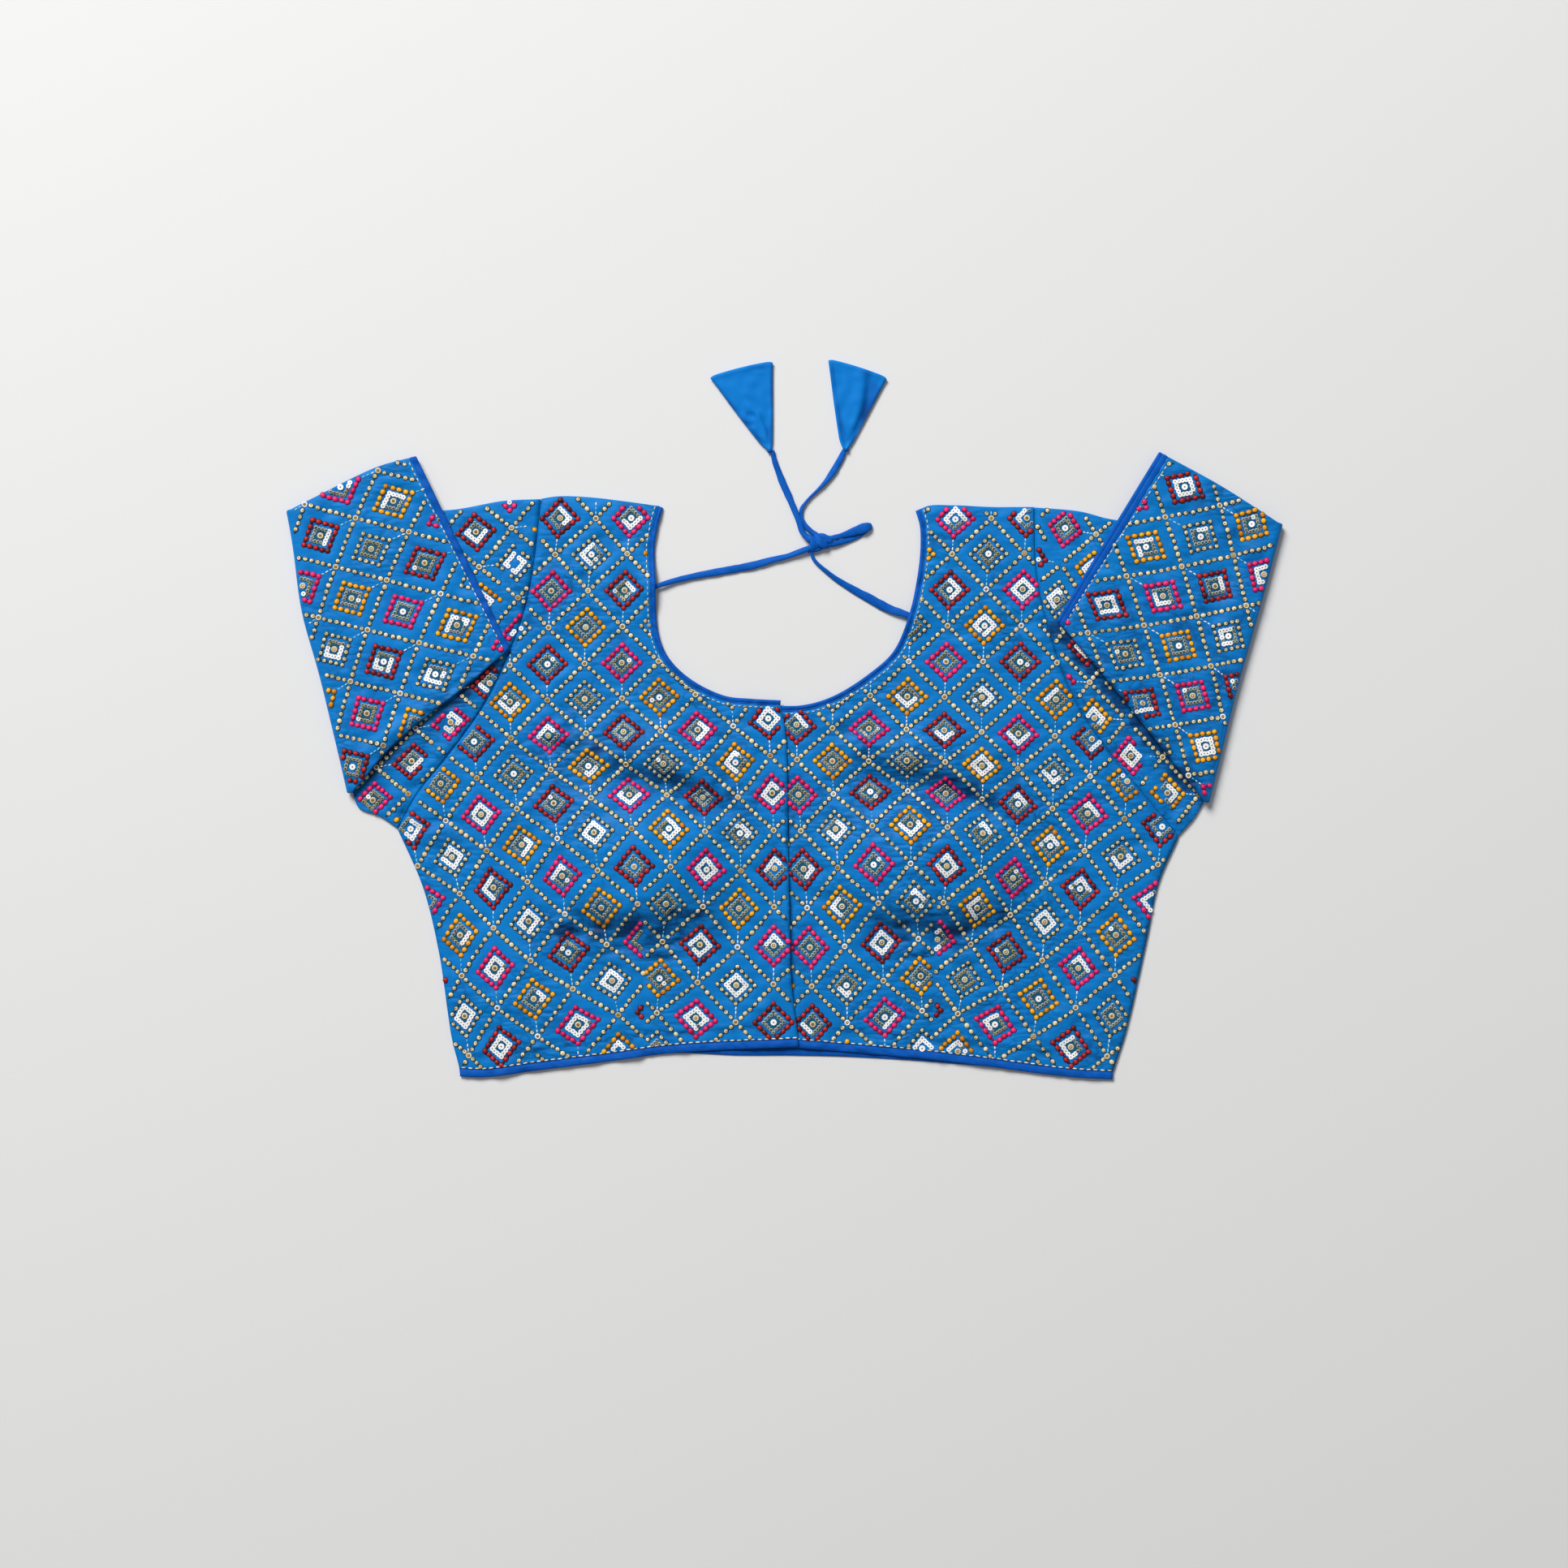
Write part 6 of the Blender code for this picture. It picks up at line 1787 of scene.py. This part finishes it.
            # a white middle sequin is painted reflection, for one that catches the light
            painted_glint = draw.uniform() < 0.35 * (1 - dark)
            outer = "white_0" if painted_glint else ("cream_0" if draw.uniform() < 0.6 else "gold_0")
            if painted_glint:
                sequins.lay(SEQUIN_FORM, outer, p, lean * 2.1, across(lean) * 2.1, 0.8, bands=[(*SEQUIN_HOLE, "gold_2")], flat=True)
                sequins.lay(HOLE_FORM, "hole_0", p, lean * 0.3, across(lean) * 0.3, 1.0)
            else:   # wound thread, browner toward its middle
                sequins.lay(RING_FORM, outer, p, lean * 2.15, across(lean) * 2.15, 0.8)
                sequins.lay(CROSS_FORM, str(draw.choice(["gold_1", "gold_2", "cream_2"])), p, lean * 1.35, across(lean) * 1.3, 0.75)
                middle = str(draw.choice(["white_0", "gold_0", "gold_2"], p=[0.3, 0.35, 0.35]))
                sequins.lay(HOLE_FORM, middle, p, lean * 0.55, across(lean) * 0.55, 0.75)
        # the thread from the motif to the crossing
        si, sj = layout.corner
        size = np.hypot(*(a * si + b * sj))
        begin = MOTIF + 1.7 / size
        share = 0.5 - 2.1 / size - begin
        steps = 3
        for k in range(steps):
            t = begin + share * (k + 0.5) / steps
            p, ok = spot(ci + si * t, cj + sj * t)
            if ok:
                way = unit(a * si + b * sj)
                needle.lay(DASH_FORM, f"cyan_{draw.integers(0, 3)}" if draw.uniform() < 0.7 else "white_1", p,
                           turned(way, draw.normal(0, 5)) * (share * size / steps * draw.uniform(0.42, 0.54)), across(way) * 0.52, 0.5)
        if not lines:
            continue
        # two lines of the lattice for each cell, and their crossing
        for way in ("i", "j"):
            v = a if way == "i" else b
            along_line = unit(v)
            for k in range(1, LINE_KNOTS + 1):
                t = -0.5 + k / (LINE_KNOTS + 1)
                di, dj = (t, 0.5) if way == "i" else (0.5, t)
                p, ok = spot(ci + di, cj + dj)
                if not ok:
                    continue
                p = p + draw.normal(0, 0.16, 2)
                lean = turned(along_line, draw.normal(0, 10))
                half, wide = 1.84 * draw.uniform(0.88, 1.1), 1.72 * draw.uniform(0.88, 1.12)
                loop = draw.uniform() < 0.8
                needle.lay(LOOP_FORMS[draw.integers(0, 4)] if loop else KNOT_FORM, f"cream_{draw.choice([0, 0, 0, 1, 1, 1])}", p,
                           lean * half, across(lean) * wide, 1.05 * draw.uniform(0.9, 1.1),
                           bands=[(*LOOP_FOOT, "cream_shade"), (*LOOP_EYE, "cream_2")] if loop else [(*KNOT_FOOT, "cream_shade")])
                # then the dip before the next knot: painted shade, with the dark thread there
                t += 0.5 / (LINE_KNOTS + 1)
                di, dj = (t, 0.5) if way == "i" else (0.5, t)
                q, ok = spot(ci + di, cj + dj)
                if ok and k < LINE_KNOTS:
                    needle.lay(NOTCH_FORM, "cream_shade", q, along_line * 1.2, across(along_line) * 1.05, 0.5)
        p, ok = spot(ci + 0.5, cj + 0.5)
        if ok:
            lean = turned(unit(a), draw.uniform(0, 40))
            tone = "white_1" if draw.uniform() < 0.15 else str(draw.choice(["gold_0", "cream_0", "gold_1"], p=[0.5, 0.3, 0.2]))
            sequins.lay(CROSS_FORM, tone, p, lean * 2.1, across(lean) * 2.0, 0.9)
            sequins.lay(HOLE_FORM, str(draw.choice(["gold_1", "gold_2", "gold_2", "cream_2"])), p, lean * 1.05, across(lean) * 1.0, 0.55)


def cells_in(low, high, box, at):
    """Whole numbers whose motif or lattice lines may lie in the box."""
    out = []
    for i in range(low[0], high[0] + 1):
        for j in range(low[1], high[1] + 1):
            p = at(np.array([float(i)]), np.array([float(j)]))[0]
            if box[0] - 30 < p[0] < box[2] + 30 and box[1] - 30 < p[1] < box[3] + 30:
                out.append((i, j))
    return out


def tree_of(name):
    """The cloth's middle surface, in table millimetres."""
    mesh = PIECES[name].data
    count = len(mesh.vertices)
    co = np.zeros(count * 3, np.float32)
    mesh.vertices.foreach_get("co", co)
    co = co.reshape(-1, 3).astype(float) / MM - SHIFT
    return BVHTree.FromPolygons([tuple(p) for p in co], [tuple(p.vertices) for p in mesh.polygons])


def front_shade(side):
    """Painted shade: near 1 on the steep side of a bust, where the sequins are chosen duller."""
    cx = -90.0 if side == "left" else 92.0
    return lambda p: float(np.exp(-(((p[0] - cx) / 60.0) ** 2)) * max(np.exp(-(((p[1] + 106) / 26.0) ** 2)),
                                                                    0.8 * np.exp(-(((p[1] + 8) / 22.0) ** 2))))


def running_stitch(needle, line, dash, wide, gap, material="stitch", tall=0.5, seed=1, keep=None, ends=(0.0, 0.0)):
    """Dashes of thread along a plan line."""
    draw = np.random.default_rng(seed)
    total = length(line) - ends[0] - ends[1]
    count = int(total / (dash + gap))
    centres = ends[0] + (np.arange(count) + 0.5) * (total / count)
    at = along(line, centres / length(line))
    ahead, behind = along(line, (centres + 0.8) / length(line)), along(line, (centres - 0.8) / length(line))
    for p, q, r in zip(at, ahead, behind):
        way = (q - r) / np.hypot(*(q - r))
        turn = np.radians(draw.normal(0, 3))
        way = np.array([way[0] * np.cos(turn) - way[1] * np.sin(turn), way[0] * np.sin(turn) + way[1] * np.cos(turn)])
        p = p + draw.normal(0, 0.08, 2)
        if keep is not None and not keep(p):
            continue
        side = np.array([-way[1], way[0]])
        needle.lay(DASH_FORM, f"{material}_{draw.choice([0, 0, 1, 1, 2])}", p, way * (dash / 2 * draw.uniform(0.9, 1.05)), side * wide / 2, tall)


def build_embroidery():
    flaps = {side: flap_outline(side) for side in ("left", "right")}
    hidden = 13.0
    for side in ("left", "right"):
        outline = front_outline(side)
        tree = tree_of(f"front_{side}_cloth")
        needle, sequins = Needle(tree, 40.0), Needle(tree, 40.0)
        sign = 1 if side == "left" else -1
        for branch in ("side", "centre"):
            def keep(p, i, j, branch=branch):
                across = sign * (p[:, 0] - dart_x(side, p[:, 1]))
                gap = np.where(p[:, 1] < DART_TOP, 0.9, 0.0)
                part = (across < -gap) if branch == "side" else (across >= gap)
                ok = part & (depth_inside(outline, p) > np.where(p[:, 1] > 140, 1.9, 1.2))
                return ok & (depth_inside(flaps[side], p) < hidden)
            at = lambda i, j, branch=branch: front_map(side, i, j, branch)
            layout = Layout(at, keep, FRONT_COLOURS, (1, 1), 7 if side == "left" else 8, front_shade(side))
            cells = [(i, j) for i, j in cells_in((-3, -4), (10, 10), (outline[:, 0].min(), outline[:, 1].min(),
                     outline[:, 0].max(), outline[:, 1].max()), at) if abs(i - j) <= 8]
            sew(needle, sequins, layout, cells)
        neck, _, hem, _ = panel_edges(side)
        running_stitch(needle, offset(neck, sign * 5.2), 2.7, 0.8, 0.8, seed=17)
        hem_line = offset(hem, sign * (HEM_BAND + 0.9))
        running_stitch(needle, hem_line, 3.7, 1.06, 0.8, seed=19, tall=0.6,
                       keep=lambda p: side == "left" or p[0] > np.interp(-p[1], [-q[1] for q in PLACKET[::-1]], [q[0] for q in PLACKET[::-1]]) - 4)
        needle.finish(f"embroidery_front_{side}")
        sequins.finish(f"sequins_front_{side}")
    for side in ("left", "right"):
        tree = tree_of(f"sleeve_{side}_cloth")
        under, flap = under_outline(side), flaps[side]
        below = lambda x, y: float(front_z(np.array([x]), np.array([y]), "none")[0]) + 1.15
        needle, sequins = Needle(tree, below), Needle(tree, below)
        for name, part in (("top", lambda y: y > (77 if side == "left" else 90.4)), ("low", lambda y: y <= (77 if side == "left" else 90.4))):
            def keep(p, i, j, part=part):
                return part(p[:, 1]) & (depth_inside(under, p) > 1.6) & (depth_inside(flap, p) < hidden)
            at = lambda i, j, name=name: sleeve_map(f"{side}_{name}", i, j)
            colours, corner = SLEEVE_MAP[f"{side}_{name}"][3:]
            layout = Layout(at, keep, colours, corner, 21)
            cells = cells_in((-6, -6), (7, 7), (under[:, 0].min(), under[:, 1].min(), under[:, 0].max(), under[:, 1].max()), at)
            sew(needle, sequins, layout, cells)
        above_needle, above_sequins = Needle(tree, 60.0), Needle(tree, 60.0)
        cuff_line = along(smooth([SLEEVE[side]["over_top"][-1], SLEEVE[side]["over_low"][-1]]), np.linspace(0, 1, 60))
        away = np.array([-(cuff_line[-1] - cuff_line[0])[1], (cuff_line[-1] - cuff_line[0])[0]])
        away /= np.hypot(*away)
        away *= np.sign((flap.mean(0) - cuff_line.mean(0)) @ away)

        def keep(p, i, j):
            from_cuff = (p - cuff_line[0]) @ away
            return (depth_inside(flap, p) > 1.6) & (from_cuff > CUFF_BAND[side] + 0.9)
        layout = Layout(lambda i, j: flap_map(side, i, j), keep, *FLAP_MAP[side][2:], 31)
        cells = cells_in((-4, -4), (9, 9), (flap[:, 0].min(), flap[:, 1].min(), flap[:, 0].max(), flap[:, 1].max()),
                         lambda i, j: flap_map(side, i, j))
        sew(above_needle, above_sequins, layout, cells)
        running_stitch(above_needle, cuff_line + away * (CUFF_BAND[side] + 1.3), 2.9, 0.8, 0.9, seed=23, ends=(1.5, 1.5))
        for low, high in ((needle, above_needle), (sequins, above_sequins)):
            join_needles(low, high)
        needle.finish(f"embroidery_sleeve_{side}")
        sequins.finish(f"sequins_sleeve_{side}")


def join_needles(first, second):
    order = np.array([first.kind(m) for m in second.materials])
    first.points += second.points
    first.faces += [f + first.count for f in second.faces]
    first.count += second.count
    first.kinds += [order[k] for k in second.kinds]
    first.flat += second.flat


# ------------------------------------------------------------ floor and light
FLOOR = 0.78


def build_stage():
    scene = bpy.context.scene
    mesh = bpy.data.meshes.new("floor")
    mesh.from_pydata([(-6, -6, 0), (6, -6, 0), (6, 6, 0), (-6, 6, 0)], [], [(0, 1, 2, 3)])
    floor = bpy.data.objects.new("floor", mesh)
    scene.collection.objects.link(floor)
    made, tree, bsdf = shader("floor", (FLOOR, FLOOR, FLOOR, 1), 0.9, specular=0.1)
    mesh.materials.append(made)

    def area(name, at, target, size, watts, colour):
        data = bpy.data.lights.new(name, "AREA")
        data.shape, data.size, data.energy, data.color = "DISK", size, watts, colour
        light = bpy.data.objects.new(name, data)
        scene.collection.objects.link(light)
        light.location = at
        light.rotation_euler = (Vector(target) - Vector(at)).to_track_quat("-Z", "Y").to_euler()
        return light

    area("key", (-1.9, 3.5, 3.6), (0.0, 0.0, 0.0), 2.6, KEY, (1.0, 0.992, 0.98))
    area("fill", (2.2, -1.2, 3.4), (0.0, 0.0, 0.0), 3.0, FILL, (0.98, 0.99, 1.0))
    world = bpy.data.worlds.new("room")
    world.use_nodes = True
    world.node_tree.nodes["Background"].inputs["Color"].default_value = (0.97, 0.985, 1.0, 1)
    world.node_tree.nodes["Background"].inputs["Strength"].default_value = SKY
    scene.world = world
    scene.view_settings.view_transform = "Standard"
    scene.view_settings.look = "None"
    scene.view_settings.exposure = 0.0
    scene.view_settings.gamma = 1.0


KEY, FILL, SKY = 337.0, 2.0, 0.225

# ------------------------------------------------------------ all of it
build_tie()
build_fronts()
build_back()
build_bindings()
build_sleeves()
build_embroidery()
build_stage()


def cloth_area(name):
    """Half of the surface of a closed shell, in square metres."""
    depsgraph = bpy.context.evaluated_depsgraph_get()
    mesh = PIECES[name].evaluated_get(depsgraph).to_mesh()
    area = sum(p.area for p in mesh.polygons) / 2
    PIECES[name].evaluated_get(depsgraph).to_mesh_clear()
    return area


# Columns: cut width and length in metres, how it is held.
SHEETS = {
    "front_left_cloth": ((0.275, 0.400), "laid"),
    "front_right_cloth": ((0.275, 0.400), "laid"),
    "back_cloth": ((0.520, 0.385), "laid"),
    "sleeve_left_cloth": ((0.430, 0.300), "folded"),
    "sleeve_right_cloth": ((0.430, 0.300), "folded"),
}
for name, (flat, held) in SHEETS.items():
    area = cloth_area(name)
    print("sheet", name, round(area, 4), "of", round(flat[0] * flat[1], 4))
